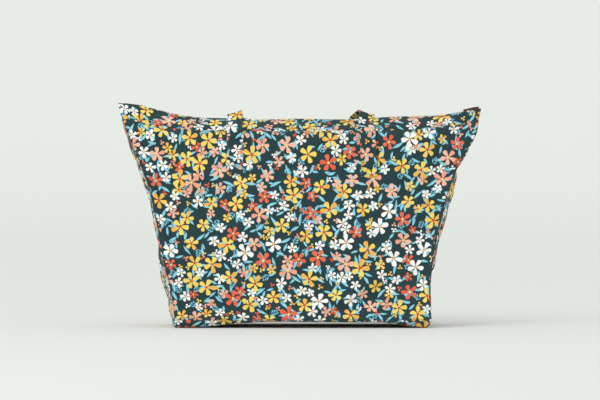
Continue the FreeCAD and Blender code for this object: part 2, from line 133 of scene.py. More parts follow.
def make_stage():
    """A pale floor that sweeps up behind the bag, a pale sky, and broad soft lights."""
    foot = FLOOR_DEPTH - SWEEP_RADIUS
    profile = [(-8.0, 0.0), (foot, 0.0)]
    for step in range(1, SWEEP_STEPS + 1):
        turn = math.pi / 2 * step / SWEEP_STEPS
        profile.append((foot + SWEEP_RADIUS * math.sin(turn), SWEEP_RADIUS - SWEEP_RADIUS * math.cos(turn)))
    profile.append((FLOOR_DEPTH, 9.0))
    verts = [(side * FLOOR_HALF_WIDTH, y, z) for y, z in profile for side in (-1, 1)]
    faces = [(2 * i, 2 * i + 1, 2 * i + 3, 2 * i + 2) for i in range(len(profile) - 1)]
    mesh = bpy.data.meshes.new("studio_sweep")
    mesh.from_pydata(verts, [], faces)
    mesh.shade_smooth()
    paper, _, shader = new_material("studio_paper")
    set_inputs(shader, {"Base Color": (0.815, 0.825, 0.80, 1), "Roughness": 0.95, "Specular IOR Level": 0.1})
    link("studio_sweep", mesh, paper)

    world = bpy.data.worlds.new("pale_room")
    bpy.context.scene.world = world
    world.use_nodes = True
    set_inputs(world.node_tree.nodes["Background"], {"Color": (0.96, 0.99, 0.97, 1), "Strength": 0.78})
    lamp("soft_sun", "SUN", (-2.2, -3.4, 3.6), (0, 0, 0.1), 0.80, angle=math.radians(60))
    lamp("key", "AREA", (-1.7, -2.4, 1.9), (0, 0, 0.15), 11, shape="RECTANGLE", size=1.4, size_y=1.2,
         color=(1, 0.985, 0.96))


# ---------------------------------------------------------------- node helpers

class Value:
    """A node's output. Sums and comparisons with it add the maths nodes that work them out."""

    def __init__(self, graph, socket):
        self.graph = graph
        self.socket = socket

    def math(self, operation, *others):
        return self.graph.math(operation, self, *others)

    def __add__(self, other):
        return self.math("ADD", other)

    def __sub__(self, other):
        return self.math("SUBTRACT", other)

    def __rsub__(self, other):
        return self.graph.math("SUBTRACT", other, self)

    def __mul__(self, other):
        return self.math("MULTIPLY", other)

    def __truediv__(self, other):
        return self.math("DIVIDE", other)

    def __pow__(self, other):
        return self.math("POWER", other)

    def __abs__(self):
        return self.math("ABSOLUTE")

    def __gt__(self, other):
        return self.math("GREATER_THAN", other)

    def __lt__(self, other):
        return self.math("LESS_THAN", other)

    def fit(self, scale, shift):
        """The value times a scale, plus a shift."""
        return self.math("MULTIPLY_ADD", scale, shift)

    def clamp(self):
        """Holds the last sum between nothing and one."""
        self.socket.node.use_clamp = True
        return self


class Graph:
    """Short calls for building a material's nodes."""

    def __init__(self, tree):
        self.tree = tree

    def node(self, kind, **settings):
        made = self.tree.nodes.new(kind)
        for name, value in settings.items():
            setattr(made, name, value)
        return made

    def feed(self, socket, value):
        if isinstance(value, Value):
            value = value.socket
        if isinstance(value, bpy.types.NodeSocket):
            self.tree.links.new(value, socket)
        elif value is not None:
            socket.default_value = value

    def math(self, operation, *values):
        made = self.node("ShaderNodeMath", operation=operation)
        for socket, value in zip(made.inputs, values):
            self.feed(socket, value)
        return Value(self, made.outputs[0])

    def vector(self, operation, a, b=None, scale=None):
        made = self.node("ShaderNodeVectorMath", operation=operation)
        self.feed(made.inputs[0], a)
        self.feed(made.inputs[1], b)
        if scale is not None:
            self.feed(made.inputs["Scale"], scale)
        return Value(self, made.outputs["Value" if operation == "LENGTH" else "Vector"])

    def turned(self, vector, angle, back=False):
        """A vector turned about Z, or turned back again."""
        made = self.node("ShaderNodeVectorRotate", rotation_type="Z_AXIS", invert=back)
        self.feed(made.inputs["Vector"], vector)
        self.feed(made.inputs["Angle"], angle)
        return made.outputs[0]

    def split(self, vector):
        made = self.node("ShaderNodeSeparateXYZ")
        self.feed(made.inputs[0], vector)
        return [Value(self, socket) for socket in made.outputs]

    def mix(self, share, a, b, blend="MIX"):
        made = self.node("ShaderNodeMix", data_type="RGBA", blend_type=blend)
        self.feed(made.inputs[0], share)
        self.feed(made.inputs[6], a)
        self.feed(made.inputs[7], b)
        return made.outputs[2]

    def steps(self, value, bands):
        """Picks a colour from bands, a list of (start, colour), with sharp changes."""
        made = self.node("ShaderNodeValToRGB")
        ramp = made.color_ramp
        ramp.interpolation = "CONSTANT"
        while len(ramp.elements) < len(bands):
            ramp.elements.new(0.5)
        for element, (start, colour) in zip(ramp.elements, bands):
            element.position = start
            element.color = colour
        self.feed(made.inputs[0], value)
        return made.outputs[0]

    def noise(self, vector, scale, detail=2.0):
        made = self.node("ShaderNodeTexNoise")
        self.feed(made.inputs["Vector"], vector)
        set_inputs(made, {"Scale": scale, "Detail": detail})
        return Value(self, made.outputs["Fac"])

    def bump(self, height, distance, strength, normal=None):
        made = self.node("ShaderNodeBump")
        self.feed(made.inputs["Height"], height)
        self.feed(made.inputs["Normal"], normal)
        set_inputs(made, {"Distance": distance, "Strength": strength})
        return made.outputs[0]


def srgb(code):
    """A colour from its six hex digits, in linear light."""
    def channel(text):
        value = int(text, 16) / 255
        return value / 12.92 if value <= 0.04045 else ((value + 0.055) / 1.055) ** 2.4
    return (channel(code[0:2]), channel(code[2:4]), channel(code[4:6]), 1)


GROUND = srgb("233D41")
YELLOW = srgb("FCDC6C")
GOLD = srgb("F5B04C")
RED = srgb("EE3C32")
CORAL = srgb("EE7052")
SCARLET = srgb("EA6042")
PEACH = srgb("FBC0A8")
BLUSH = srgb("F3A288")
WHITE = srgb("FFFDF8")
BLUE = srgb("85D0E4")
LIGHT_BLUE = srgb("A9E2EF")
CREAM = srgb("F9DC8C")


# ---------------------------------------------------------------- the printed cloth

# How far the print's colours run into each other.
PRINT_EDGE = 0.15 * MM
# The pitch of the printed cloth's threads.
PRINT_WEAVE = 0.45 * MM


def scatter(graph, place, cell, jitter, shift, turn):
    """Scatters one motif in each cell of a loose grid.

    Gives the way from the motif's middle in metres, the middle's own place, and three random
    numbers of the motif.
    """
    offset = (shift, shift * 0.7, 0)
    moved = graph.vector("ADD", graph.turned(place, turn), offset)
    scaled = graph.vector("SCALE", moved, scale=1 / cell)
    cells = graph.node("ShaderNodeTexVoronoi", voronoi_dimensions="2D", feature="F1")
    graph.feed(cells.inputs["Vector"], scaled)
    set_inputs(cells, {"Scale": 1.0, "Randomness": jitter})
    away = graph.vector("SUBTRACT", scaled, cells.outputs["Position"])
    away = graph.vector("SCALE", away, scale=cell)
    middle = graph.vector("SCALE", cells.outputs["Position"], scale=cell)
    middle = graph.turned(graph.vector("SUBTRACT", middle, offset), turn, back=True)
    return away, middle, graph.split(cells.outputs["Color"])


def flower(graph, away, chance, radius, petals, fatness):
    """Masks of a flower's petals and of its middle, and a random tone for each petal."""
    x, y, _ = graph.split(away)
    far = graph.vector("LENGTH", away) / (chance[1].fit(0.28, 0.80) * radius)
    spun = chance[0].fit(math.tau, y.math("ARCTAN2", x))
    sector = (spun + math.tau) / (math.tau / petals)
    angle = (sector.math("FRACT") - 0.5) * (math.tau / petals)
    seed = graph.node("ShaderNodeCombineXYZ")
    graph.feed(seed.inputs[0], sector.math("FLOOR"))
    graph.feed(seed.inputs[1], chance[2])
    random = graph.node("ShaderNodeTexWhiteNoise", noise_dimensions="2D")
    graph.feed(random.inputs["Vector"], seed.outputs[0])
    tone = Value(graph, random.outputs["Value"])
    along = far * angle.math("COSINE") / tone.fit(0.20, 0.88)
    side = far * angle.math("SINE")
    ends = abs((along - 0.56) / 0.44) ** 3.0
    flanks = (side / (along.fit(1.05, 0.28) * fatness)) ** 2.0
    petal = ((1.0 - (ends + flanks)) * 9.0).clamp()
    heart = ((0.17 - far) * 30.0).clamp()
    return petal, heart, tone


def sprig(graph, away, chance, pairs, long, wide, lean):
    """A mask of leaves that leave both sides of a stem in pairs."""
    x, y, _ = graph.split(graph.turned(away, chance[0] * math.tau))
    lift = abs(y + x ** 2.0 * 14.0)
    foot = x - lift * (1 / math.tan(lean))
    gap = long * 0.56
    row = (foot + gap * pairs / 2) / gap
    off = (row.math("FRACT") - 0.5) * (gap * math.sin(lean))
    number = row.math("FLOOR")
    half = number.fit(-0.17, 1.0) * (long / 2)
    part = (lift / math.sin(lean) - half) / half
    room = (1.0 - abs(part) ** 1.5) * wide
    leaves = ((room - abs(off)) * (1 / PRINT_EDGE)).clamp()
    return leaves * ((number > -0.5) * (number < pairs - 0.5))


def leaf(graph, away, chance, long, wide):
    """Masks of one pointed, slightly bent leaf, of the dark gap round it, and of its lit half."""
    x, y, _ = graph.split(graph.turned(away, chance[0] * math.tau))
    part = abs(x) / (chance[1].fit(0.40, 0.66) * (long / 2))
    bowed = (x ** 2.0).fit(chance[1].fit(36.0, -18.0), y)
    inside = (1.0 - part ** 1.7) * (wide / 2) - abs(bowed)
    blade = (inside * (1 / PRINT_EDGE)).clamp()
    gap = ((inside + 0.55 * MM) * (1 / PRINT_EDGE)).clamp()
    lit = (bowed * (1 / (0.2 * MM))).clamp()
    return blade, gap, lit


def clear_of(graph, middle, other, distance):
    """One where a motif's middle is at least a distance from another layer's nearest motif."""
    away, _, _ = scatter(graph, middle, *other)
    return graph.vector("LENGTH", away) > distance


# Each layer of flowers: its grid's cell, looseness, shift and turn.
LARGE = (35.5 * MM, 0.62, 0.31, 0.35)
MIDDLING = (20.5 * MM, 0.70, 1.73, 1.10)
SMALL = (12.5 * MM, 0.80, 2.91, 2.05)
# For each layer: its grid, radius, petals, fatness, share, and the layers that it keeps clear of,
# then its tints as (start, petals, odd petals, middle).
FLOWERS = (
    (SMALL, 4.4 * MM, 3, 0.38, 0.6, ((MIDDLING, 9.0 * MM), (LARGE, 13.5 * MM)),
     ((0.0, YELLOW, GOLD, GOLD), (0.34, SCARLET, CORAL, SCARLET), (0.56, WHITE, WHITE, GOLD),
      (0.76, PEACH, CORAL, CREAM))),
    (MIDDLING, 8.6 * MM, 5, 0.27, 1.0, ((LARGE, 15.0 * MM),),
     ((0.0, WHITE, WHITE, GOLD), (0.51, SCARLET, CORAL, CREAM), (0.63, PEACH, BLUSH, GOLD),
      (0.84, YELLOW, GOLD, RED))),
    (LARGE, 13.0 * MM, 5, 0.27, 1.0, (),
     ((0.0, YELLOW, GOLD, RED), (0.38, CORAL, SCARLET, CREAM), (0.54, PEACH, BLUSH, YELLOW),
      (0.77, WHITE, WHITE, GOLD), (0.92, YELLOW, YELLOW, SCARLET))),
)
# For each layer of leaves: its cell, shift and turn, the leaf's length and width, and its share.
LEAVES = ((14.5 * MM, 5.1, 0.8, 15.5 * MM, 3.7 * MM, 0.55), (18.5 * MM, 9.3, 1.6, 21 * MM, 4.3 * MM, 0.60))


def print_group():
    """The all-over print: flowers in three sizes over sprigs and leaves, on a dark ground."""
    tree = bpy.data.node_groups.new("flower_print", "ShaderNodeTree")
    tree.interface.new_socket("Place", in_out="INPUT", socket_type="NodeSocketVector")
    tree.interface.new_socket("Color", in_out="OUTPUT", socket_type="NodeSocketColor")
    graph = Graph(tree)
    entry = graph.node("NodeGroupInput").outputs[0]
    wander = graph.node("ShaderNodeTexNoise")
    graph.feed(wander.inputs["Vector"], entry)
    wander.inputs["Scale"].default_value = 160.0
    offset = graph.vector("SUBTRACT", wander.outputs["Color"], (0.5, 0.5, 0.5))
    place = graph.vector("ADD", entry, graph.vector("SCALE", offset, scale=1.6 * MM))

    away, _, chance = scatter(graph, place, 26 * MM, 0.70, 7.7, 2.3)
    spray = sprig(graph, away, chance, 3, 7 * MM, 1.1 * MM, 0.85)
    colour = graph.mix(spray * (chance[2] < 0.50), GROUND, BLUE)
    for cell, shift, turn, long, wide, share in LEAVES:
        away, _, chance = scatter(graph, place, cell, 0.62, shift, turn)
        blade, gap, lit = leaf(graph, away, chance, long, wide)
        shown = chance[2] < share
        colour = graph.mix(gap * shown, colour, GROUND)
        colour = graph.mix(blade * shown, colour, graph.mix(lit * 0.55, BLUE, LIGHT_BLUE))
    for site, radius, petals, fatness, share, others, tints in FLOWERS:
        away, middle, chance = scatter(graph, place, *site)
        petal, heart, tone = flower(graph, away, chance, radius, petals, fatness)
        shown = chance[1] < share
        for other, distance in others:
            shown = shown * clear_of(graph, middle, other, distance)
        light, deep, core = (graph.steps(chance[2], [(tint[0], tint[kind]) for tint in tints])
                             for kind in (1, 2, 3))
        odd_petal = (tone > 0.72).fit(0.75, 0.06)
        colour = graph.mix(petal * shown, colour, graph.mix(odd_petal, light, deep))
        colour = graph.mix(heart * shown, colour, core)
    graph.feed(graph.node("NodeGroupOutput").inputs[0], colour)
    return tree


def weave(graph, place, pitch):
    """The height of a plain weave: threads that pass over and under each other."""
    x, y, _ = graph.split(graph.vector("SCALE", place, scale=math.pi / pitch))
    ribs = abs((x * 2.0).math("SINE"))
    return ribs.fit(0.4, x.math("SINE") * y.math("SINE"))


def new_material(name):
    material = bpy.data.materials.new(name)
    material.use_nodes = True
    graph = Graph(material.node_tree)
    shader = material.node_tree.nodes["Principled BSDF"]
    return material, graph, shader


def uv_place(graph):
    return graph.node("ShaderNodeUVMap", uv_map=UV_NAME).outputs[0]


def cloth_finish(graph, shader, place, pitch, depth, rough=0.78):
    """The fine relief and the soft sheen that every woven piece has."""
    threads = graph.bump(weave(graph, place, pitch), depth, 0.35)
    crumple = graph.bump(graph.noise(place, 70, 3.0), 1.2 * MM, 0.28, threads)
    graph.feed(shader.inputs["Normal"], crumple)
    graph.feed(shader.inputs["Roughness"], graph.noise(place, 35).fit(0.16, rough - 0.08))
    set_inputs(shader, {"Specular IOR Level": 0.22, "Sheen Weight": 0.08, "Sheen Roughness": 0.5})


def printed_material(name, tree, fade=0.0):
    """The printed cloth, darkened in the weave's valleys as painted shade. A piece's seam attribute is one
    on a worn fold or a seam.
    """
    material, graph, shader = new_material(name)
    place = uv_place(graph)
    group = graph.node("ShaderNodeGroup", node_tree=tree)
    graph.feed(group.inputs[0], place)
    # The weave darkens the print in its valleys, which is painted shade between the threads, times a random
    # tone that varies over the cloth.
    thread = weave(graph, place, PRINT_WEAVE).fit(0.045, 0.975)
    shade = thread * graph.noise(place, 14).fit(0.10, 0.95)
    grey = graph.node("ShaderNodeCombineXYZ")
    for socket in grey.inputs:
        graph.feed(socket, shade)
    colour = graph.mix(1.0, group.outputs[0], grey.outputs[0], "MULTIPLY")
    worn = Value(graph, graph.node("ShaderNodeAttribute", attribute_name="seam").outputs["Fac"])
    rub = (worn * graph.noise(place, 220).fit(0.5, -0.10) * 0.55).clamp()
    colour = graph.mix(rub, colour, srgb("7C8784"))
    if fade:
        colour = graph.mix(fade, colour, srgb("8F9A98"))
    graph.feed(shader.inputs["Base Color"], colour)
    cloth_finish(graph, shader, place, PRINT_WEAVE, 0.10 * MM)
    return material


def woven_material(name, dark, light, pitch, rough=0.8):
    """Plain woven tape: its colour, lighter on the weave's high points as painted light on the threads'
    tops, a random fibre tone, and a rib across it.
    """
    material, graph, shader = new_material(name)
    place = uv_place(graph)
    fibre = graph.noise(place, 900)
    # Lighter on the weave's high points, which is painted light on the threads' tops, mixed with a random
    # fibre tone.
    share = weave(graph, place, pitch).fit(0.35, fibre * 0.6).clamp()
    graph.feed(shader.inputs["Base Color"], graph.mix(share, srgb(dark), srgb(light)))
    cloth_finish(graph, shader, place, pitch, 0.15 * MM, rough)
    return material


def solid_material(name, dark, light, rough, metal=0.0, grain=300.0):
    """Moulded or plated material: two tones, fine scratches and rubbed patches."""
    material, graph, shader = new_material(name)
    place = graph.node("ShaderNodeTexCoord").outputs["Object"]
    patch = graph.noise(place, grain, 4.0)
    graph.feed(shader.inputs["Base Color"], graph.mix(patch, srgb(dark), srgb(light)))
    graph.feed(shader.inputs["Roughness"], patch.fit(0.22, rough - 0.1))
    graph.feed(shader.inputs["Normal"], graph.bump(graph.noise(place, grain * 6), 0.05 * MM, 0.3))
    shader.inputs["Metallic"].default_value = metal
    return material


PRINT = print_group()
MATERIALS = {
    "cloth": printed_material("printed_cloth", PRINT),
    "strap": printed_material("printed_strap", PRINT),
    "lining": printed_material("printed_cloth_pocket", PRINT, 0.10),
    "tape": woven_material("zip_tape_weave", "16262A", "2C4146", 0.8 * MM),
    "binding": woven_material("binding_weave", "1B2B2F", "3A4E52", 1.1 * MM),
    "thread": woven_material("stitch_thread", "1C3034", "4C6266", 0.3 * MM),
    "tab": woven_material("end_tab_weave", "3B2417", "5E4030", 0.9 * MM),
    "label": woven_material("label_satin", "DDD9CE", "F4F1E9", 0.3 * MM, 0.5),
    "coil": solid_material("zip_coil_nylon", "16262A", "2A3B40", 0.42),
    "metal": solid_material("zip_plating", "5A4124", "A07C48", 0.34, 0.9),
}


# ---------------------------------------------------------------- curves and patches

def unit(vectors):
    vectors = np.asarray(vectors, float)
    return vectors / np.maximum(np.linalg.norm(vectors, axis=-1, keepdims=True), 1e-12)


def run_of(points):
    """How far along a path each of its points is."""
    return np.concatenate([[0], np.cumsum(np.linalg.norm(np.diff(points, axis=0), axis=1))])


def at_runs(points, runs):
    """The points at given distances along a path."""
    marks = run_of(points)
    return np.stack([np.interp(runs, marks, points[:, axis]) for axis in range(3)], 1)


def heading(path):
    """The unit way along a path at each of its points."""
    return unit(np.gradient(path, axis=0))


def squared(vectors, path):
    """The unit vectors nearest to the given ones that stand square to a path."""
    along = heading(path)
    return unit(vectors - along * (vectors * along).sum(1, keepdims=True))


def spline(points, count):
    """Evenly spaced points on a smooth curve through the given ones."""
    marks = np.array(points, float)
    knots = run_of(marks)
    slopes = np.gradient(marks, knots, axis=0)
    fine = np.linspace(0, knots[-1], 12 * count)
    index = np.clip(np.searchsorted(knots, fine, side="right") - 1, 0, len(knots) - 2)
    span = (knots[index + 1] - knots[index])[:, None]
    t = (fine - knots[index])[:, None] / span
    curve = ((2 * t**3 - 3 * t**2 + 1) * marks[index] + (t**3 - 2 * t**2 + t) * span * slopes[index]
             + (3 * t**2 - 2 * t**3) * marks[index + 1] + (t**3 - t**2) * span * slopes[index + 1])
    return at_runs(curve, np.linspace(0, run_of(curve)[-1], count))


def wrinkle(x, y, z, seed):
    """Smooth noise from -1 to 1, the same on every run."""
    return noise.noise(Vector((x + seed * 13.7, y - seed * 7.3, z + seed * 3.1)))


def smooth(value):
    value = np.clip(value, 0, 1)
    return value * value * (3 - 2 * value)


def coons(left, right, low, high):
    """A surface that fills four edge curves: rows go up, columns go from left to right."""
    rows, columns = len(left), len(low)
    t = np.linspace(0, 1, rows)[:, None, None]
    s = np.linspace(0, 1, columns)[None, :, None]
    sides = (1 - s) * left[:, None] + s * right[:, None]
    ends = (1 - t) * low[None] + t * high[None]
    corners = ((1 - t) * ((1 - s) * low[0] + s * low[-1]) + t * ((1 - s) * high[0] + s * high[-1]))
    return sides + ends - corners


def bake_modifiers(item):
    """Replaces the object's mesh by the one that its modifiers make."""
    graph = bpy.context.evaluated_depsgraph_get()
    made = bpy.data.meshes.new_from_object(item.evaluated_get(graph), preserve_all_data_layers=True,
                                           depsgraph=graph)
    item.modifiers.clear()
    item.data = made
    made.shade_smooth()
    return item


def quads(index):
    """The faces between the points of a grid, from the points' numbers."""
    return np.stack([index[:-1, :-1], index[:-1, 1:], index[1:, 1:], index[1:, :-1]], -1).reshape(-1, 4)


def grid_faces(place):
    rows, columns = place.shape[:2]
    return quads(np.arange(rows * columns).reshape(rows, columns))


def flat_grid(across, along):
    """A flat pattern from the places of its columns and of its rows."""
    return np.stack(np.broadcast_arrays(across, along), -1)


def from_border(shape, spacing=(1, 1)):
    """How far each point of a grid is from its border. Spacing is that of columns, then of rows."""
    rows, columns = shape
    up = np.minimum(np.arange(rows), rows - 1 - np.arange(rows))[:, None] * spacing[1]
    along = np.minimum(np.arange(columns), columns - 1 - np.arange(columns))[None] * spacing[0]
    return np.minimum(up, along)


def grid_mesh(name, place, flat, seam=None):
    """A mesh of a grid of points, with its flat pattern as the cloth's UV map."""
    faces = grid_faces(place)
    mesh = bpy.data.meshes.new(name)
    mesh.from_pydata(place.reshape(-1, 3).tolist(), [], faces.tolist())
    layer = mesh.uv_layers.new(name=UV_NAME)
    corners = flat.reshape(-1, 2)[faces.reshape(-1)]
    layer.data.foreach_set("uv", corners.astype(np.float32).reshape(-1))
    attribute = mesh.attributes.new("seam", "FLOAT", "POINT")
    if seam is not None:
        attribute.data.foreach_set("value", seam.astype(np.float32).reshape(-1))
    return mesh


def sheet_piece(name, place, flat, material, seam=None, thick=CLOTH, finer=1, outward=1.0):
    """A thin piece of cloth from a grid of points, rounded and given its thickness."""
    item = link(name, grid_mesh(name, place, flat, seam), material)
    if finer:
        item.modifiers.new("finer", "SUBSURF").levels = finer
    solid = item.modifiers.new("thick", "SOLIDIFY")
    solid.thickness = thick
    solid.offset = outward
    return bake_modifiers(item)


# How far in from a seam its wear shows.
EDGE_SOFT = 14 * MM


def seam_weight(shape, spacing):
    """One on a patch's border, falling to nothing a little way in."""
    return np.exp(-from_border(shape, spacing) / (EDGE_SOFT / 3))


# ---------------------------------------------------------------- the shell's edges

# Each side seam, from the base corner up to the wing's tip, on the front of the bag.
LEFT_SEAM = [(-0.1925, -0.087, 0.0135), (-0.196, -0.081, 0.040), (-0.2125, -0.066, 0.112),
             (-0.2225, -0.055, 0.165), (-0.2395, -0.040, 0.231), (-0.262, -0.024, 0.285),
             (-0.275, -0.012, 0.318), (-0.2835, -0.002, 0.3425)]
RIGHT_SEAM = [(0.200, -0.087, 0.010), (0.1985, -0.080, 0.045), (0.2015, -0.070, 0.095),
              (0.208, -0.062, 0.130), (0.216, -0.053, 0.165), (0.2290, -0.043, 0.212),
              (0.2405, -0.034, 0.243), (0.2575, -0.022, 0.272), (0.2715, -0.011, 0.298),
              (0.2790, -0.002, 0.334)]
# The fold between the panel and the top band, from tip to tip.
FRONT_FOLD = [(-0.278, -0.006, 0.3297), (-0.250, -0.018, 0.3162), (-0.208, -0.030, 0.3067),
              (-0.150, -0.035, 0.3027), (0.0, -0.0355, 0.3012), (0.150, -0.035, 0.3027),
              (0.205, -0.030, 0.3057), (0.245, -0.018, 0.3112), (0.275, -0.005, 0.3192)]
# The top edge beside the zip, from tip to tip.
RIDGE = [(-0.2835, -0.0016, 0.3449), (-0.268, -0.0026, 0.3430), (-0.250, -0.0036, 0.3407),
         (-0.231, -0.0050, 0.3366), (-0.213, -0.0058, 0.3320), (-0.194, -0.0064, 0.3276),
         (-0.157, -0.0070, 0.3222), (-0.120, -0.0070, 0.3210), (-0.055, -0.0070, 0.3190),
         (0.0, -0.0070, 0.3203), (0.056, -0.0070, 0.3186), (0.121, -0.0070, 0.3221),
         (0.158, -0.0068, 0.3238), (0.195, -0.0064, 0.3247), (0.214, -0.0058, 0.3252),
         (0.232, -0.0050, 0.3283), (0.251, -0.0040, 0.3312), (0.269, -0.0026, 0.3351),
         (0.279, -0.0016, 0.3361)]


def base_edge(way, count):
    """The bottom seam of the front (way -1) or the back (way 1) panel, bowed out and a little lower in its
    middle.
    """
    left = Vector(LEFT_SEAM[0])
    right = Vector(RIGHT_SEAM[0])
    s = np.linspace(0, 1, count)
    x = left.x + (right.x - left.x) * s
    bow = 3 * MM * np.sin(math.pi * s)
    y = way * (abs(left.y) + bow)
    z = left.z + (right.z - left.z) * s - 1.5 * MM * np.sin(math.pi * s) ** 0.5
    return np.stack([x, np.broadcast_to(y, x.shape), z], 1)


def shell_edges():
    """The seams and folds that the shell's patches share."""
    edges = {}
    for face, way in WAY.items():
        turned = (1, -way, 1)
        fold = spline(np.array(FRONT_FOLD) * turned, COLUMNS + 1)
        low = base_edge(way, COLUMNS + 1)
        for side, seam, end in (("left", LEFT_SEAM, 0), ("right", RIGHT_SEAM, -1)):
            curve = spline(seam, 400)
            lower = curve[curve[:, 2] <= fold[end][2] - 6 * MM] * turned
            edges[face, side] = spline(np.vstack([lower[::40], fold[end][None]]), ROWS + 1)
            low[end] = edges[face, side][0]
        edges[face, "fold"] = fold
        edges[face, "low"] = low
        edges[face, "ridge"] = spline(np.array(RIDGE) * turned, COLUMNS + 1)
    return edges


# How far the left gusset stands out, the share of it that is left at the foot, and how far the
# base bulges there.
GUSSET_OUT = 9 * MM
GUSSET_FOOT = 0.7
FOOT_BELLY = 4 * MM


def gusset_start(edges, side):
    """The gusset before it settles. The left one stands out, and the right one tucks in."""
    front, back = edges["front", side], edges["back", side]
    g = np.linspace(0, 1, ACROSS + 1)[None, :, None]
    place = (1 - g) * front[:, None] + g * back[:, None]
    t = np.linspace(0, 1, ROWS + 1)[:, None]
    across = np.sin(math.pi * g[..., 0])
    if side == "left":
        out = -GUSSET_OUT * across**0.6 * (1 - 0.75 * t) * np.minimum(1, t * 6 + GUSSET_FOOT)
        out = out - 2.0 * MM * across * (np.sin(9 * t + 1) - math.sin(1)) * np.minimum(1, t * 9)
    else:
        out = -13 * MM * across * np.minimum(1, t * 5) * (1 - 0.6 * t)
        out = out + 2.5 * MM * across * np.sin(11 * t)
    place[..., 0] += out
    return place


def base_start(edges):
    """The base before it settles: it curls up to its seams, and its middle is lifted."""
    front, back = edges["front", "low"], edges["back", "low"]
    g = np.linspace(0, 1, ACROSS + 1)
    ease = 0.5 - 0.5 * np.cos(math.pi * g)
    place = (1 - ease)[:, None, None] * front[None] + ease[:, None, None] * back[None]
    s = np.linspace(0, 1, COLUMNS + 1)[None]
    rim = np.minimum(np.minimum(ease, 1 - ease)[:, None] * 174 * MM, np.minimum(s, 1 - s) * 800 * MM)
    lift = 9.5 * MM * smooth((s - 0.02) / 0.40) * smooth((0.97 - s) / 0.22)
    floor = 0.6 * MM + lift
    curl = np.clip(1 - rim / (8 * MM), 0, 1) ** 2
    place[..., 2] = floor + (place[..., 2] - floor) * curl
    from_left = s * 392 * MM
    bulge = GUSSET_OUT * GUSSET_FOOT * np.sin(math.pi * ease)[:, None] ** 0.6
    place[..., 0] -= bulge * np.clip(1 - from_left / (40 * MM), 0, 1) ** 2
    place[..., 0] -= FOOT_BELLY * (1 - curl) * np.exp(-((from_left - 4 * MM) / (11 * MM)) ** 2)
    return place


def panel_start(edges, face):
    """A panel before it settles, with a shallow belly and a few long folds."""
    place = coons(edges[face, "left"], edges[face, "right"], edges[face, "low"], edges[face, "fold"])
    deep, seed = (7 * MM, 2) if face == "front" else (4 * MM, 5)
    s = np.linspace(0, 1, place.shape[1])
    t = np.linspace(0, 1, place.shape[0])
    folds = np.array([[wrinkle(a * 9, b * 2.2, 0, seed) for a in s] for b in t])
    slant = np.array([[wrinkle(a * 5 + b * 3, b * 4 - a * 2, 0, seed + 1) for a in s] for b in t])
    across, up = np.sin(math.pi * s)[None], np.sin(math.pi * t)[:, None]
    edge = across**0.5 * up**0.6
    belly = deep * across**0.8 * up**0.8
    place[..., 1] += WAY[face] * (belly + edge * (2.6 * MM * folds + 3.0 * MM * slant))
    return place


# ---------------------------------------------------------------- settling the cloth

SETTLE_FRAMES = 22
# How far a point may move as the cloth settles.
SETTLE_LIMIT = 16 * MM
CLOTH_SETTINGS = {
    "quality": 6, "mass": 0.02, "tension_stiffness": 12, "compression_stiffness": 8,
    "shear_stiffness": 4, "bending_stiffness": 0.25, "air_damping": 2.0, "vertex_group_mass": "held",
    "shrink_min": -0.016, "use_pressure": True, "uniform_pressure_force": 0.35,
}


def settle(patches, loose):
    """Joins the patches along their seams and lets the cloth settle under its own weight.

    Seams, folds and the base hold still. The cloth is cut slightly larger than the space between
    them, and a light pressure fills it, which gives the folds of a lightly filled bag.
    """
    stacked = np.vstack([patch.reshape(-1, 3) for patch in patches.values()])
    keys = np.round(stacked / (0.05 * MM)).astype(np.int64)
    _, first, place_of = np.unique(keys, axis=0, return_index=True, return_inverse=True)
    points = stacked[first]
    held = np.zeros(len(points), bool)
    numbers = {}
    start = 0
    for name, patch in patches.items():
        rows, columns = patch.shape[:2]
        index = place_of.reshape(-1)[start:start + rows * columns].reshape(rows, columns)
        start += rows * columns
        still = from_border(index.shape) == 0 if name in loose else slice(None)
        held[index[still]] = True
        numbers[name] = index
    faces = np.vstack([quads(index) for index in numbers.values()]).tolist()
    mesh = bpy.data.meshes.new("settling")
    mesh.from_pydata(points.tolist(), [], [tuple(face) for face in faces if len(set(face)) == 4])
    item = link("settling", mesh)
    group = item.vertex_groups.new(name="held")
    group.add(np.flatnonzero(held).tolist(), 1.0, "REPLACE")
    cloth = item.modifiers.new("cloth", "CLOTH")
    for key, value in CLOTH_SETTINGS.items():
        setattr(cloth.settings, key, value)
    cloth.collision_settings.use_collision = False
    cloth.point_cache.frame_start = 1
    cloth.point_cache.frame_end = SETTLE_FRAMES
    scene = bpy.context.scene
    for number in range(1, SETTLE_FRAMES + 1):
        scene.frame_set(number)
    graph = bpy.context.evaluated_depsgraph_get()
    settled = np.zeros(len(points) * 3)
    item.evaluated_get(graph).to_mesh().vertices.foreach_get("co", settled)
    item.evaluated_get(graph).to_mesh_clear()
    scene.frame_set(1)
    bpy.data.objects.remove(item)
    moved = settled.reshape(-1, 3) - points
    length = np.linalg.norm(moved, axis=1, keepdims=True)
    settled = points + moved * np.minimum(1, SETTLE_LIMIT / np.maximum(length, 1e-9))
    return {name: settled[index] for name, index in numbers.items()}


# How deep the folds are that fan out from each lower corner of the panels.
CORNER_FOLDS = {("front", "left"): 1.8 * MM, ("front", "right"): 3.0 * MM, ("back", "left"): 2.2 * MM,
                ("back", "right"): 1.8 * MM}


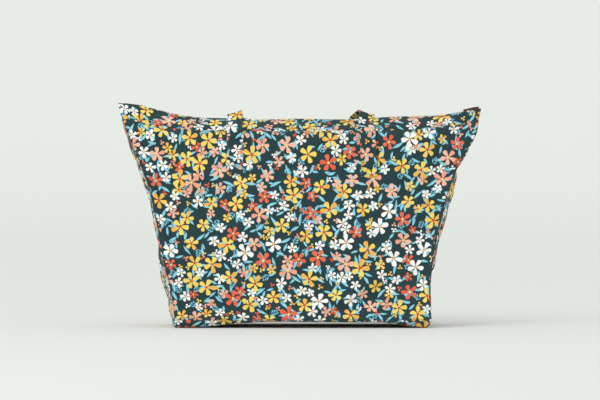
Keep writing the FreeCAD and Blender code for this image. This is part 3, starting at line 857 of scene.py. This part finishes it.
def corner_folds(place, face):
    """Folds that fan out from a panel's lower corners, where the base pulls at it."""
    depth = np.zeros(place.shape[:2])
    for side, column, start in (("left", 0, 2), ("right", -1, 0.5)):
        corner = place[0, column]
        x = np.abs(place[..., 0] - corner[0])
        z = place[..., 2] - corner[2]
        away = np.hypot(x, z)
        turn = np.arctan2(z, x)
        fan = np.sin(turn * 9 + start) + 0.5 * np.sin(turn * 17 + 1)
        grow = smooth(away / (20 * MM)) * np.exp(-(away / (50 * MM)) ** 2)
        depth += CORNER_FOLDS[face, side] * fan * grow
    fade = smooth(from_border(place.shape[:2]) / 3.0)
    return place + normals(place) * OUTWARD[face] * (depth * fade)[..., None]


def normals(place):
    """The unit normal at each point of a grid."""
    return unit(np.cross(np.gradient(place, axis=1), np.gradient(place, axis=0)))


def pucker(place, outward, seed, depth=1.1 * MM, pitch=9 * MM, reach=16 * MM):
    """Gathers the cloth along a patch's border, as a sewn seam does."""
    rows, columns = place.shape[:2]
    spacing = (np.linalg.norm(place[rows // 2, 0] - place[rows // 2, -1]) / columns,
               np.linalg.norm(place[0, columns // 2] - place[-1, columns // 2]) / rows)
    near = from_border((rows, columns), spacing)
    bump = np.exp(-near / reach) * (1 - np.exp(-near / (2.5 * MM)))
    for row, column in np.ndindex(rows, columns):
        if near[row, column] > 3 * reach:
            bump[row, column] = 0
        else:
            bump[row, column] *= wrinkle(*(place[row, column] / pitch), seed)
    return place + outward * normals(place) * (depth * bump)[..., None]


def across_run(place):
    """How far each point of a grid is from its first row, along the cloth."""
    steps = np.linalg.norm(np.diff(place, axis=0), axis=2)
    return np.vstack([np.zeros((1, place.shape[1])), np.cumsum(steps, axis=0)])


def along_run(place):
    """How far each point of a grid is from its middle column, along the cloth."""
    run = across_run(place.transpose(1, 0, 2)).T
    return run - run[:, place.shape[1] // 2][:, None]


EDGES = shell_edges()
PATCHES = {
    "front": panel_start(EDGES, "front"),
    "back": panel_start(EDGES, "back"),
    "left": gusset_start(EDGES, "left"),
    "right": gusset_start(EDGES, "right"),
    "base": base_start(EDGES),
}


def panel_flat(face):
    """A panel's flat pattern, from its place and its lean."""
    place = PATCHES[face]
    return np.stack([-WAY[face] * place[..., 0], place[..., 2] / math.sin(PANEL_LEAN)], -1)


def gusset_flat(side, shift):
    place = PATCHES[side]
    return place[..., 1:] * (SIDES[side], 1) + shift


FLAT = {
    "front": panel_flat("front"),
    "back": panel_flat("back"),
    "left": gusset_flat("left", (1.0, 0.2)),
    "right": gusset_flat("right", (2.0, 0.1)),
    "base": np.stack([along_run(PATCHES["base"]), 3.0 + across_run(PATCHES["base"])], -1),
}
PATCHES = settle(PATCHES, ("front", "back", "left", "right"))
OUTWARD = {"front": 1, "back": -1, "left": -1, "right": 1, "base": -1}
for face in WAY:
    PATCHES[face] = corner_folds(PATCHES[face], face)
for number, name in enumerate(PATCHES):
    if name != "base":
        PATCHES[name] = pucker(PATCHES[name], OUTWARD[name], number + 1)

make_camera()
make_stage()


# ---------------------------------------------------------------- pieces and how they move

# Where each half of a band would stop following the bag and start to follow its flap. Nothing applies these
# points: finish_piece only bakes the transform of a piece that is given them.
FLAPS = {
    (face, side): ("bag", face + "_flap", (sign * 0.212, way * FOLD_Y, FOLD_Z),
                   (sign * 0.138, way * FOLD_Y, FOLD_Z))
    for face, way in WAY.items() for side, sign in SIDES.items()
}


def finish_piece(item, replaces=(), blend=None):
    """Hides the solids that the piece stands for. With a blend it only bakes the piece's transform, and the
    blend's points are not used; without one it is parented to the bag's body.
    """
    if blend:
        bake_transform(item)
    else:
        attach(item, "bag")
    if replaces:
        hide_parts(*replaces)


def ribbon(name, centres, sides, width, thick, material, start=0.0, cup=0.0):
    """A flat strip with rounded edges along a path. Sides are unit vectors across the strip."""
    centres = np.asarray(centres, float)
    sides = unit(np.broadcast_to(sides, centres.shape))
    across = np.array([-1, -0.93, -0.62, -0.22, 0.22, 0.62, 0.93, 1.0])
    faces = unit(np.cross(heading(centres), sides))
    place = centres[:, None] + sides[:, None] * (across * width / 2)[None, :, None]
    place = place - faces[:, None] * (cup * across**2)[None, :, None]
    flat = flat_grid(across * width / 2, (run_of(centres) + start)[:, None])
    worn = np.broadcast_to((np.abs(across) > 0.9) * 1.0, flat.shape[:2])
    item = link(name, grid_mesh(name, place, flat, worn), material)
    solid = item.modifiers.new("thick", "SOLIDIFY")
    solid.thickness = thick
    solid.offset = 0.0
    item.modifiers.new("rounded", "SUBSURF").levels = 1
    return bake_modifiers(item)


def beads(name, starts, ends, radius, material):
    """Many short rounded rods, each from a start to an end: stitches, or the coils of a zip."""
    rings = ((0.0, 0.45), (0.18, 1.0), (0.82, 1.0), (1.0, 0.45))
    count = 6
    verts, faces = [], []
    for start, end in zip(starts, ends):
        start, end = Vector(start), Vector(end)
        way = (end - start).normalized()
        side = way.orthogonal().normalized()
        other = way.cross(side)
        first = len(verts)
        for share, fat in rings:
            middle = start.lerp(end, share)
            for step in range(count):
                turn = math.tau * step / count
                verts.append(middle + (side * math.cos(turn) + other * math.sin(turn)) * radius * fat)
        for ring in range(len(rings) - 1):
            for step in range(count):
                a = first + ring * count + step
                b = first + ring * count + (step + 1) % count
                faces.append((a, b, b + count, a + count))
        faces.append(tuple(range(first + count - 1, first - 1, -1)))
        last = first + (len(rings) - 1) * count
        faces.append(tuple(range(last, last + count)))
    mesh = bpy.data.meshes.new(name)
    mesh.from_pydata(verts, [], faces)
    mesh.shade_smooth()
    layer = mesh.uv_layers.new(name=UV_NAME).data
    for loop in mesh.loops:
        point = mesh.vertices[loop.vertex_index].co
        layer[loop.index].uv = (point.x + point.y, point.z)
    return link(name, mesh, material)


def stitches(name, path, long=2.6 * MM, gap=1.5 * MM, radius=0.32 * MM):
    """A row of stitches along a path that already lies on the cloth."""
    path = np.asarray(path, float)
    starts = np.arange(gap, run_of(path)[-1] - long, long + gap)
    return beads(name, at_runs(path, starts), at_runs(path, starts + long), radius, MATERIALS["thread"])


def join_pieces(name, items):
    """Joins several meshes of one material into one piece."""
    verts, faces, uvs = [], [], []
    for item in items:
        first = len(verts)
        verts += [tuple(v.co) for v in item.data.vertices]
        faces += [tuple(first + v for v in face.vertices) for face in item.data.polygons]
        uvs += [tuple(entry.uv) for entry in item.data.uv_layers[UV_NAME].data]
    mesh = bpy.data.meshes.new(name)
    mesh.from_pydata(verts, [], faces)
    layer = mesh.uv_layers.new(name=UV_NAME)
    layer.data.foreach_set("uv", np.array(uvs, np.float32).reshape(-1))
    mesh.shade_smooth()
    joined = link(name, mesh, items[0].data.materials[0])
    for item in items:
        bpy.data.objects.remove(item)
    return joined


# ---------------------------------------------------------------- panels, gussets and base

# For each patch of the shell: its node, and its cloth's width, height and area as cut.
SHELL = {
    "front": ("front_panel", 0.56, 0.35, 0.156),
    "back": ("back_panel", 0.56, 0.35, 0.156),
    "left": ("left_gusset", 0.18, 0.36, 0.034),
    "right": ("right_gusset", 0.18, 0.36, 0.034),
    "base": ("base_panel", 0.41, 0.20, 0.078),
}


def make_shell():
    for name, (node, wide, tall, area) in SHELL.items():
        place = PATCHES[name]
        item = sheet_piece(node + "_cloth", place, FLAT[name], MATERIALS["cloth"],
                           seam_weight(place.shape[:2], (6 * MM, 6 * MM)), outward=-OUTWARD[name])
        finish_piece(item, (node,))


def tree_of(place):
    return BVHTree.FromPolygons(place.reshape(-1, 3).tolist(), grid_faces(place).tolist())


TREES = {face: tree_of(PATCHES[face]) for face in WAY}
# The height up to which something can be sewn on a panel, just under its fold.
SEWN_TOP = min(point[2] for point in FRONT_FOLD) - 1.2 * MM


def on_panel(face, x, z, lift):
    """A point a little outside the panel."""
    way = WAY[face]
    level = min(z, SEWN_TOP)
    hit, normal, _, _ = TREES[face].ray_cast(Vector((x, way * 0.3, level)), Vector((0, -way, 0)))
    hit.z = z
    if normal.y * way < 0:
        normal = -normal
    return hit + normal * lift


# ---------------------------------------------------------------- top bands and zip

# The way out of a band's slope, towards its face and up.
BAND_OUT = {face: np.array([0, way * 0.5, 0.86]) for face, way in WAY.items()}


def band_place(face):
    """The top band between its fold and the zip, a little puffed and gathered at its edges."""
    low, high = EDGES[face, "fold"], EDGES[face, "ridge"]
    t = np.linspace(0, 1, BAND_ROWS + 1)[:, None, None]
    place = (1 - t) * low[None] + t * high[None]
    seed = 8 if face == "front" else 9
    waves = np.array([wrinkle(x * 22, 0, 0, seed) for x in low[:, 0]])[None, :, None]
    tip = np.clip((0.278 - np.abs(low[:, 0])) / 0.05, 0, 1)[None, :, None]
    return place + BAND_OUT[face] * np.sin(math.pi * t) ** 0.7 * tip * (1.4 * MM + 1.1 * MM * waves)


SEAM_ALLOWANCE = 5 * MM


def with_allowance(place, face):
    """The band with the raw edge below its fold, which lies inside the panel's top."""
    inside = place[:1] + (0, -WAY[face] * 1.4 * MM, 0)
    hem = inside + (0, 0, -SEAM_ALLOWANCE)
    return np.vstack([hem, (hem + inside) / 2, inside, place])


def half(place, side):
    """The columns of a grid, or the points of a path, on one side of the bag's middle."""
    share = slice(COLUMNS // 2 + 1) if side == "left" else slice(COLUMNS // 2, None)
    return place[..., share, :]


def strip_flat(place, offset):
    """A strip's flat pattern: its length along the bag and its width up from the fold."""
    return np.stack([place[..., 0], across_run(place) + offset], -1)


def make_bands():
    for face in WAY:
        for side in SIDES:
            place = half(band_place(face), side)
            name = f"{face}_top_band_{side}"
            cut = with_allowance(place, face)
            item = sheet_piece(name + "_cloth", cut, strip_flat(cut, 0.5 + WAY[face] * 0.1),
                               MATERIALS["cloth"], seam_weight(cut.shape[:2], (6 * MM, 4 * MM)),
                               outward=WAY[face])
            finish_piece(item, (name,) + shared(face + "_top_band", side),
                         FLAPS[face, side])
            make_tape(face, side)
            make_band_stitches(face, side, place)


def shared(node, side):
    """The middle solid that two halves stand for is named by the left half only."""
    return (node,) if side == "left" else ()


COIL_LOW, COIL_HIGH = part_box("front_zip_coil")
ZIP_LEVEL = (COIL_LOW.z + COIL_HIGH.z) / 2
# How far from the bag's middle the coils and the tapes end.
ZIP_END = 224 * MM
TAPE_END = 262 * MM
COIL_PITCH = 1.5 * MM


def zip_line(ridge, way):
    """The inner edge of a tape. It is level where the slider runs, and climbs beyond the stops."""
    climb = smooth((np.abs(ridge[:, 0]) - ZIP_END - 3 * MM) / (24 * MM))
    level = ZIP_LEVEL * (1 - climb) + (ridge[:, 2] - 0.7 * MM) * climb
    return np.stack([ridge[:, 0], np.full(len(ridge), way * 0.7 * MM), level], 1)


def make_coil(name, tips, roots, cord, radii):
    """One side of a zip's coil: its teeth, and the cord that they are wound on."""
    teeth = beads(name + "_row", tips, roots, radii[0], MATERIALS["coil"])
    run = beads(name + "_cord", cord[:-1], cord[1:], radii[1], MATERIALS["coil"])
    return join_pieces(name, [teeth, run])


def make_tape(face, side):
    """The zip's tape, sewn under the band and sunk between the bands' edges, and its coils."""
    way = WAY[face]
    ridge, fold = half(EDGES[face, "ridge"], side), half(EDGES[face, "fold"], side)
    near = np.abs(ridge[:, 0]) < TAPE_END
    ridge, fold = ridge[near], fold[near]
    inner = zip_line(ridge, way)
    bend = ridge + (0, 0, -1.1 * MM)
    under = np.stack([ridge[:, 0], bend[:, 1], inner[:, 2]], 1)
    hem = ridge + unit(fold - ridge) * 7 * MM + (0, 0, -1.3 * MM)
    wall = [bend * (1 - t)**2 + under * 2 * t * (1 - t) + inner * t**2 for t in np.linspace(0, 1, 6)]
    place = np.stack([hem, (hem + bend) / 2] + wall)
    item = sheet_piece(f"{face}_zip_tape_{side}", place, strip_flat(place, 0), MATERIALS["tape"],
                       thick=0.6 * MM, outward=0.0)
    ends = ("zip_tape_ends_" + side,) if face == "front" else ()
    finish_piece(item, ends + shared(face + "_zip_tape", side), FLAPS[face, side])

    inner = inner[np.abs(inner[:, 0]) < ZIP_END]
    first = COIL_PITCH / 2 if face == "front" else COIL_PITCH
    line = at_runs(inner, np.arange(first, run_of(inner)[-1] - COIL_PITCH, COIL_PITCH))
    coil = make_coil(f"{face}_zip_coil_{side}", line + (0, -way * 0.30 * MM, 0.15 * MM),
                     line + (0, way * 2.1 * MM, 0.15 * MM), line + (0, way * 2.0 * MM, 0.20 * MM),
                     (0.58 * MM, 0.7 * MM))
    ends = ("zip_coil_ends_" + side,) if face == "front" else ()
    finish_piece(coil, ends + shared(face + "_zip_coil", side), FLAPS[face, side])


def make_band_stitches(face, side, place):
    """Two rows of topstitching: one beside the zip, and one just above the fold."""
    rows = []
    for number, share in enumerate((0.80, 0.13)):
        level = share * BAND_ROWS
        low = int(level)
        path = place[low] * (1 - level + low) + place[low + 1] * (level - low)
        near = np.abs(path[:, 0]) < TAPE_END
        rows.append(stitches(f"{face}_row_{side}_{number}", (path + BAND_OUT[face] * 0.45 * MM)[near]))
    finish_piece(join_pieces(f"{face}_band_stitches_{side}", rows), blend=FLAPS[face, side])


def make_end_tabs():
    """A folded tab sewn over each end of the zip. The right one lies further out and higher."""
    for side, sign, shift, rise in (("left", -1, 0, 0.3), ("right", 1, 3.5 * MM, 2.6)):
        node = "zip_end_tab_" + side
        low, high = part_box(node)
        ridge = half(EDGES["front", "ridge"], side)
        x = np.linspace(low.x + 2 * shift, high.x + shift, 13)
        turn = np.linspace(-1, 1, 11)
        place = np.zeros((len(x), len(turn), 3))
        place[..., 0] = x[:, None] + 0.3 * MM * np.sin(turn * 4)
        place[..., 1] = np.sin(turn * math.pi / 2) * np.linspace(3.8, 2.9, len(x))[::sign][:, None] * MM
        place[..., 2] = np.interp(x, ridge[:, 0], ridge[:, 2])[:, None]
        place[..., 2] += (rise - 6.5 * np.abs(turn) ** 2.6) * MM
        item = sheet_piece(node + "_cloth", place, flat_grid(x[:, None], turn * 8 * MM), MATERIALS["tab"],
                           thick=1.0 * MM, outward=0.0)
        finish_piece(item, (node,))


# ---------------------------------------------------------------- straps and handles

# The run of a front strap over the top, as (y, z): up the band, over the zip and down behind.
OVER_TOP = [(-0.0380, 0.3016), (-0.0357, 0.3052), (-0.0284, 0.3101), (-0.0185, 0.3160),
            (-0.0110, 0.3224), (-0.0060, 0.3272), (-0.0015, 0.3288), (0.0050, 0.3268),
            (0.0160, 0.3196), (0.0300, 0.3115), (0.0385, 0.3070), (0.0415, 0.3045)]
# How far the inner edge of a strap stands above its outer edge at the top, where it pulls inwards.
PULL_TILT = math.radians(17)
# How far in from a strap's edge it is stitched.
STITCH_IN = 2.4 * MM
# Each loop's radius, the length of its legs, and the height that it hangs from.
FRONT_LOOP = (72 * MM, 88 * MM, 0.3045)
BACK_LOOP = (103 * MM, 136 * MM, 0.3025)
# How far behind the bag's middle the loops' hinges are.
HINGE_Y = 0.0413
# How far a hanging loop's middle line stays from the back panel.
LOOP_CLEAR = 3.4 * MM
# The height of the front handle's fold over the zip.
OVER_ZIP = 0.3260


def strap_middle(face, side, z):
    """The middle of a sewn strap at a height. The right front strap leans a little."""
    if side == "left":
        return -STRAP_X
    if face == "back":
        return STRAP_X
    return STRAP_X + 1.5 * MM + (SEWN_TOP - z) * 0.05


def strap_foot(face, side):
    """How low a strap is sewn. The left front strap ends a little higher than the others."""
    return STRAP_BOX[0].z + (8 if (face, side) == ("front", "left") else 4) * MM


def leg_path(face, side, shift=0.0, lift=1.35 * MM, low=None):
    low = strap_foot(face, side) if low is None else low
    heights = np.linspace(low, SEWN_TOP + 2.2 * MM, 20)
    return [on_panel(face, strap_middle(face, side, z) + shift, z, lift) for z in heights]


def strap_start(side):
    """Where on the printed cloth a strap is cut, so that the two sides differ."""
    return 0.8 + 0.31 * (side == "left")


def strap_rows(face, side):
    """Stitches down both edges of a sewn strap, and a box with a cross at its foot."""
    edge = STRAP_WIDTH / 2 - STITCH_IN
    foot = strap_foot(face, side) + 3 * MM
    top = foot + 20 * MM
    lift = 2.45 * MM

    def row(xs, heights):
        return [on_panel(face, strap_middle(face, side, z) + x, z, lift) for x, z in zip(xs, heights)]

    rows = [leg_path(face, side, sign * edge, lift, foot) for sign in (-1, 1)]
    rows += [row(np.linspace(-edge, edge, 8), [z] * 8) for z in (foot, top)]
    rows += [row(sign * np.linspace(-edge, edge, 10), np.linspace(foot, top, 10)) for sign in (-1, 1)]
    made = [stitches(f"{face}_{side}_row_{number}", path) for number, path in enumerate(rows)]
    return join_pieces(f"{face}_strap_stitches_{side}", made)


def make_sewn_straps():
    bend = {"front": ("bag", "front_flap", (0, -FOLD_Y - 2 * MM, FOLD_Z - 16 * MM),
                      (0, -FOLD_Y, FOLD_Z - 2.5 * MM)), "back": None}
    for face in WAY:
        for side in SIDES:
            node = f"{face}_strap_{side}"
            item = ribbon(node + "_cloth", leg_path(face, side), (1, 0, 0), STRAP_WIDTH, STRAP_THICK,
                          MATERIALS["strap"], start=strap_start(side))
            finish_piece(item, (node,), bend[face])
            finish_piece(strap_rows(face, side), blend=bend[face])


def top_run(sign):
    """The strap's middle line over the top, drawing in from the sewn strap to the hanging loop."""
    marks = spline([(0, y, z) for y, z in OVER_TOP], 60)
    start = 0.013 if sign < 0 else -0.006
    share = smooth((marks[:, 1] - start) / (HINGE_Y - start))
    marks[:, 0] = sign * (STRAP_X + 1 * MM - (STRAP_X - FRONT_LOOP[0]) * share)
    return marks


def tilted_sides(path, sign):
    """Unit vectors across the strap. At the top of the bag its inner edge stands higher."""
    turn = PULL_TILT * smooth((path[:, 1] + 0.034) / 0.028) * smooth((0.030 - path[:, 1]) / 0.026)
    return squared(np.stack([np.cos(turn), np.zeros(len(path)), -sign * np.sin(turn)], 1), path)


def hanging_loop(radius, leg, top):
    """A hanging handle's middle line, from its left hinge round to the right one."""
    plane = [(-radius, down) for down in np.linspace(0, leg, 16)[:-1]]
    plane += [(-radius * math.cos(a), leg + radius * math.sin(a)) for a in np.linspace(0, math.pi, 41)]
    plane += [(radius, down) for down in np.linspace(leg, 0, 16)[1:]]
    points = []
    for x, down in plane:
        y = HINGE_Y + down * math.cos(PANEL_LEAN)
        z = top - down * math.sin(PANEL_LEAN)
        near = on_panel("back", x, z, 0).y if z < FOLD_Z - 4 * MM else 0
        sag = 1.0 * MM * wrinkle(x * 14, down * 9, 0, 4)
        points.append((x, max(y, near + LOOP_CLEAR) + sag, z))
    points = np.array(points)
    for _ in range(4):
        points[1:-1, 1] = (points[:-2, 1] + 2 * points[1:-1, 1] + points[2:, 1]) / 4
    return points


def loop_sides(points):
    """Unit vectors across a hanging strap, in the plane it hangs in."""
    return unit(np.cross(heading(points), (0, math.sin(PANEL_LEAN), math.cos(PANEL_LEAN))))


def finish_strap(node, path, sides, start, cup, bend):
    """A free length of strap, with a row of stitches near each edge of both its faces."""
    item = ribbon(node + "_cloth", path, sides, STRAP_WIDTH, STRAP_THICK, MATERIALS["strap"],
                  start=start, cup=cup)
    finish_piece(item, (node,), bend)
    faces = unit(np.cross(heading(path), sides))
    rows = []
    for sign in (-1, 1):
        for out in (-1, 1):
            row = path + sides * sign * (STRAP_WIDTH / 2 - STITCH_IN) + faces * out * STRAP_THICK * 0.52
            rows.append(stitches(f"{node}_{sign}_{out}", row))
    finish_piece(join_pieces(node + "_stitches", rows), blend=bend)


def make_front_handle():
    """Over the top of the bag the front handle bends in three places, so it has three parts."""
    bends = {
        "root": ("front_flap", "front_handle_root", (0, -0.0375, 0.3005), (0, -0.0300, 0.3075)),
        "neck": ("front_handle_root", "front_handle_neck", (0, -0.0085, OVER_ZIP), (0, 0.0010, OVER_ZIP)),
    }
    tails = {}
    for side, sign in SIDES.items():
        run = top_run(sign)
        y = run[:, 1]
        sewn = run_of(np.array(leg_path("front", side)))[-1] - 1.5 * MM
        cut = strap_start(side) + sewn + run_of(run)
        for part, share in (("root", y <= -0.0115), ("neck", (y >= -0.0125) & (y <= 0.021))):
            path = run[share]
            finish_strap(f"front_handle_{part}_{side}", path, tilted_sides(path, sign), cut[share][0],
                         0.3 * MM, bends[part])
        tails[side] = run[y >= 0.020]
    loop = hanging_loop(*FRONT_LOOP)
    path = np.vstack([tails["left"][:-1], loop[1:-1], tails["right"][::-1][1:]])
    make_loop("front_handle_loop", spline(path[::2], 110),
              ("front_handle_neck", "front_handle", (0, 0.0345, 0.3110), (0, 0.0440, 0.2960)))


def make_back_handle():
    top = BACK_LOOP[2]
    make_loop("back_handle_loop", hanging_loop(*BACK_LOOP),
              ("bag", "back_handle", (0, HINGE_Y - 1 * MM, top + 2 * MM),
               (0, HINGE_Y + 2 * MM, top - 12 * MM)))


def make_loop(node, path, bend):
    """A hanging loop. Near its hinges it turns level, to meet what it hangs from."""
    sides = loop_sides(path)
    level = squared(np.where(path[:, :1] < 0, 1.0, -1.0) * (1, 0, 0), path)
    level *= np.sign((level * sides).sum(1, keepdims=True))
    high = smooth((path[:, 2] - 0.296) / 0.012)[:, None]
    finish_strap(node, path, unit(sides * (1 - high) + level * high), 1.3, 0.5 * MM, bend)


# ---------------------------------------------------------------- bindings inside the seams

# The section of a bound seam in millimetres, as how far in from the seam and to its side.
FIN = [(0.6, -0.75), (3, -0.8), (6, -0.85), (8.2, -0.8), (8.9, -0.45), (9.1, 0.0), (8.9, 0.45),
       (8.2, 0.8), (6, 0.85), (3, 0.8), (0.6, 0.75)]
TAPE_WIDTH = 20 * MM


def binding(name, curve, inward):
    """A tape folded round the raw edges of a seam, which stand inside the bag."""
    curve = np.asarray(curve, float)
    inward = squared(np.broadcast_to(np.asarray(inward, float), curve.shape), curve)
    over = np.cross(heading(curve), inward)
    fin = np.array(FIN) * MM
    wave = np.array([wrinkle(*(point * 25), 6) for point in curve])[:, None] * 0.6 * MM
    aside = fin[None, :, 1] + wave * fin[:, 0] / (9 * MM)
    place = curve[:, None] + inward[:, None] * fin[None, :, :1] + over[:, None] * aside[..., None]
    long = run_of(curve)
    flat = flat_grid(np.linspace(0, TAPE_WIDTH, len(FIN)), long[:, None])
    item = sheet_piece(name + "_tape", place, flat, MATERIALS["binding"], thick=0.4 * MM, finer=0,
                       outward=0.0)
    finish_piece(item, (name + "_binding",))


def make_bindings():
    for face, way in WAY.items():
        for side, sign in SIDES.items():
            binding(f"{face}_{side}_seam", EDGES[face, side][4:-5], (-sign * 0.8, -way * 0.6, 0))
        binding(face + "_base", EDGES[face, "low"][5:-5], (0, -way * 0.95, 0.35))
    for side, sign in SIDES.items():
        binding(side + "_base", PATCHES[side][0][3:-3], (-sign * 0.95, 0, 0.35))


# ---------------------------------------------------------------- the pocket inside

def wavy_sheet(name, corners, bulge, seed, material, shape=(30, 24), up=0, thick=CLOTH):
    """A rectangle of cloth between x and z limits at a depth y, with a bulge and soft folds."""
    (x0, x1), y, (z0, z1) = corners
    x = np.linspace(x0, x1, shape[0])
    z = np.linspace(z0, z1, shape[1])
    s, t = (x - x0) / (x1 - x0), (z - z0) / (z1 - z0)
    rim = np.clip(np.sin(math.pi * s) * np.sin(math.pi * t)[:, None], 0, 1) ** 0.5
    folds = np.array([[wrinkle(a * 24, b * 16, 0, seed) for a in x] for b in z])
    place = np.zeros(folds.shape + (3,))
    place[..., 0] = x
    place[..., 1] = y + rim * bulge * (1 + 0.45 * folds)
    place[..., 2] = z[:, None]
    return sheet_piece(name, place, place[..., ::2] + (0, up), material, thick=thick, outward=0.0)


def make_pocket():
    """Two sheets of cloth with a bound rim."""
    low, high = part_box("stow_pocket")
    middle = (low.y + high.y) / 2
    for part, shift, bulge, seed, up in (("front", -1.2, -2.6, 11, 4), ("back", 0.6, 2.8, 12, 5)):
        corners = ((low.x, high.x), middle + shift * MM, (low.z, high.z - 0.6 * MM))
        item = wavy_sheet("stow_pocket_" + part, corners, bulge * MM, seed, MATERIALS["lining"], up=up)
        finish_piece(item, ("stow_pocket",) if part == "front" else ())
    rim = [(x, middle, z) for x, z in ((low.x, high.z), (low.x, low.z), (high.x, low.z), (high.x, high.z))]
    dense = [np.linspace(a, b, 24, endpoint=False) for a, b in zip(rim[:-1], rim[1:])] + [np.array(rim[-1:])]
    edge = ribbon("stow_pocket_rim", np.vstack(dense), (0, 1, 0), 4.2 * MM, 1.2 * MM, MATERIALS["binding"])
    finish_piece(edge)
    make_pocket_header(middle)
    for part, sign in (("lower", 1), ("upper", -1)):
        make_pocket_zip(part, sign)


def make_pocket_header(middle):
    """The strip that the pocket hangs by, from its zip up to the back panel's fold."""
    low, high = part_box("pocket_header")
    top = FOLD_Z - 1.5 * MM
    curve = spline([(0, middle, low.z - 3 * MM), (0, middle + 1 * MM, low.z + 0.2 * MM),
                    (0, high.y - 5 * MM, top - 2 * MM), (0, high.y - 1.6 * MM, top)], 9)
    place = np.zeros((len(curve), 30, 3))
    place[..., 0] = np.linspace(low.x, high.x, 30)
    place[..., 1:] = curve[:, None, 1:]
    header = sheet_piece("pocket_header_cloth", place, strip_flat(place, 6.0), MATERIALS["lining"],
                         outward=0.0)
    finish_piece(header, ("pocket_header",))


def make_pocket_zip(part, sign):
    """One tape of the pocket's zip and its coil. Sign is 1 on the lower tape."""
    low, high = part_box("pocket_tape_" + part)
    tape = wavy_sheet(f"pocket_tape_{part}_cloth", ((low.x, high.x), low.y - 0.3 * MM, (low.z, high.z)),
                      -0.1 * MM, 13, MATERIALS["tape"], shape=(60, 6), thick=0.5 * MM)
    finish_piece(tape, ("pocket_tape_" + part,))
    low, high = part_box("pocket_coil_" + part)
    first = low.x + COIL_PITCH * (1 if part == "lower" else 1.5)
    inner = high.z if part == "lower" else low.z
    line = np.array([(x, (low.y + high.y) / 2 + 0.1 * MM, inner)
                     for x in np.arange(first, high.x - COIL_PITCH, COIL_PITCH)])
    coil = make_coil(f"pocket_coil_{part}_teeth", line + (0, 0, sign * 0.2 * MM),
                     line - (0, 0, sign * 2.0 * MM), line - (0, 0.1 * MM, sign * 1.9 * MM),
                     (0.55 * MM, 0.62 * MM))
    finish_piece(coil, ("pocket_coil_" + part,))


def make_label():
    low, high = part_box("care_label")
    depths = [on_panel("front", x, z, -2.5 * MM).y for x in (low.x, high.x) for z in (low.z, high.z)]
    y = max(depths + [high.y]) + 1 * MM
    item = wavy_sheet("care_label_cloth", ((low.x, high.x), y, (low.z, high.z)), 1.4 * MM, 14,
                      MATERIALS["label"], shape=(12, 20), thick=0.3 * MM)
    finish_piece(item, ("care_label",))


def make_panel_stitches():
    """A row of topstitching under the fold, above the base, and inside each side seam."""
    for face in WAY:
        place = PATCHES[face]
        lift = normals(place) * OUTWARD[face] * 0.35 * MM
        rows = (place[-1, 3:-3] * 0.55 + (place[-2] * 0.45 + lift[-2])[3:-3],
                (place[:, 0] * 0.5 + place[:, 1] * 0.5 + lift[:, 1])[3:-4],
                (place[:, -1] * 0.5 + place[:, -2] * 0.5 + lift[:, -2])[3:-4],
                (place[0] * 0.4 + place[1] * 0.6 + lift[1])[3:-3])
        made = [stitches(f"{face}_row_{number}", row) for number, row in enumerate(rows)]
        finish_piece(join_pieces(face + "_panel_stitches", made))


def dress_metal():
    """The rigid parts of both zips keep their modelled shapes and get their plating."""
    for node in ("zip_slider", "zip_pull", "zip_top_stops", "zip_bottom_stop", "pocket_slider",
                 "pocket_pull"):
        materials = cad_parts[node].data.materials
        materials.clear()
        materials.append(MATERIALS["metal"])


make_shell()
make_bands()
make_end_tabs()
make_sewn_straps()
make_front_handle()
make_back_handle()
make_bindings()
make_pocket()
make_label()
make_panel_stitches()
dress_metal()
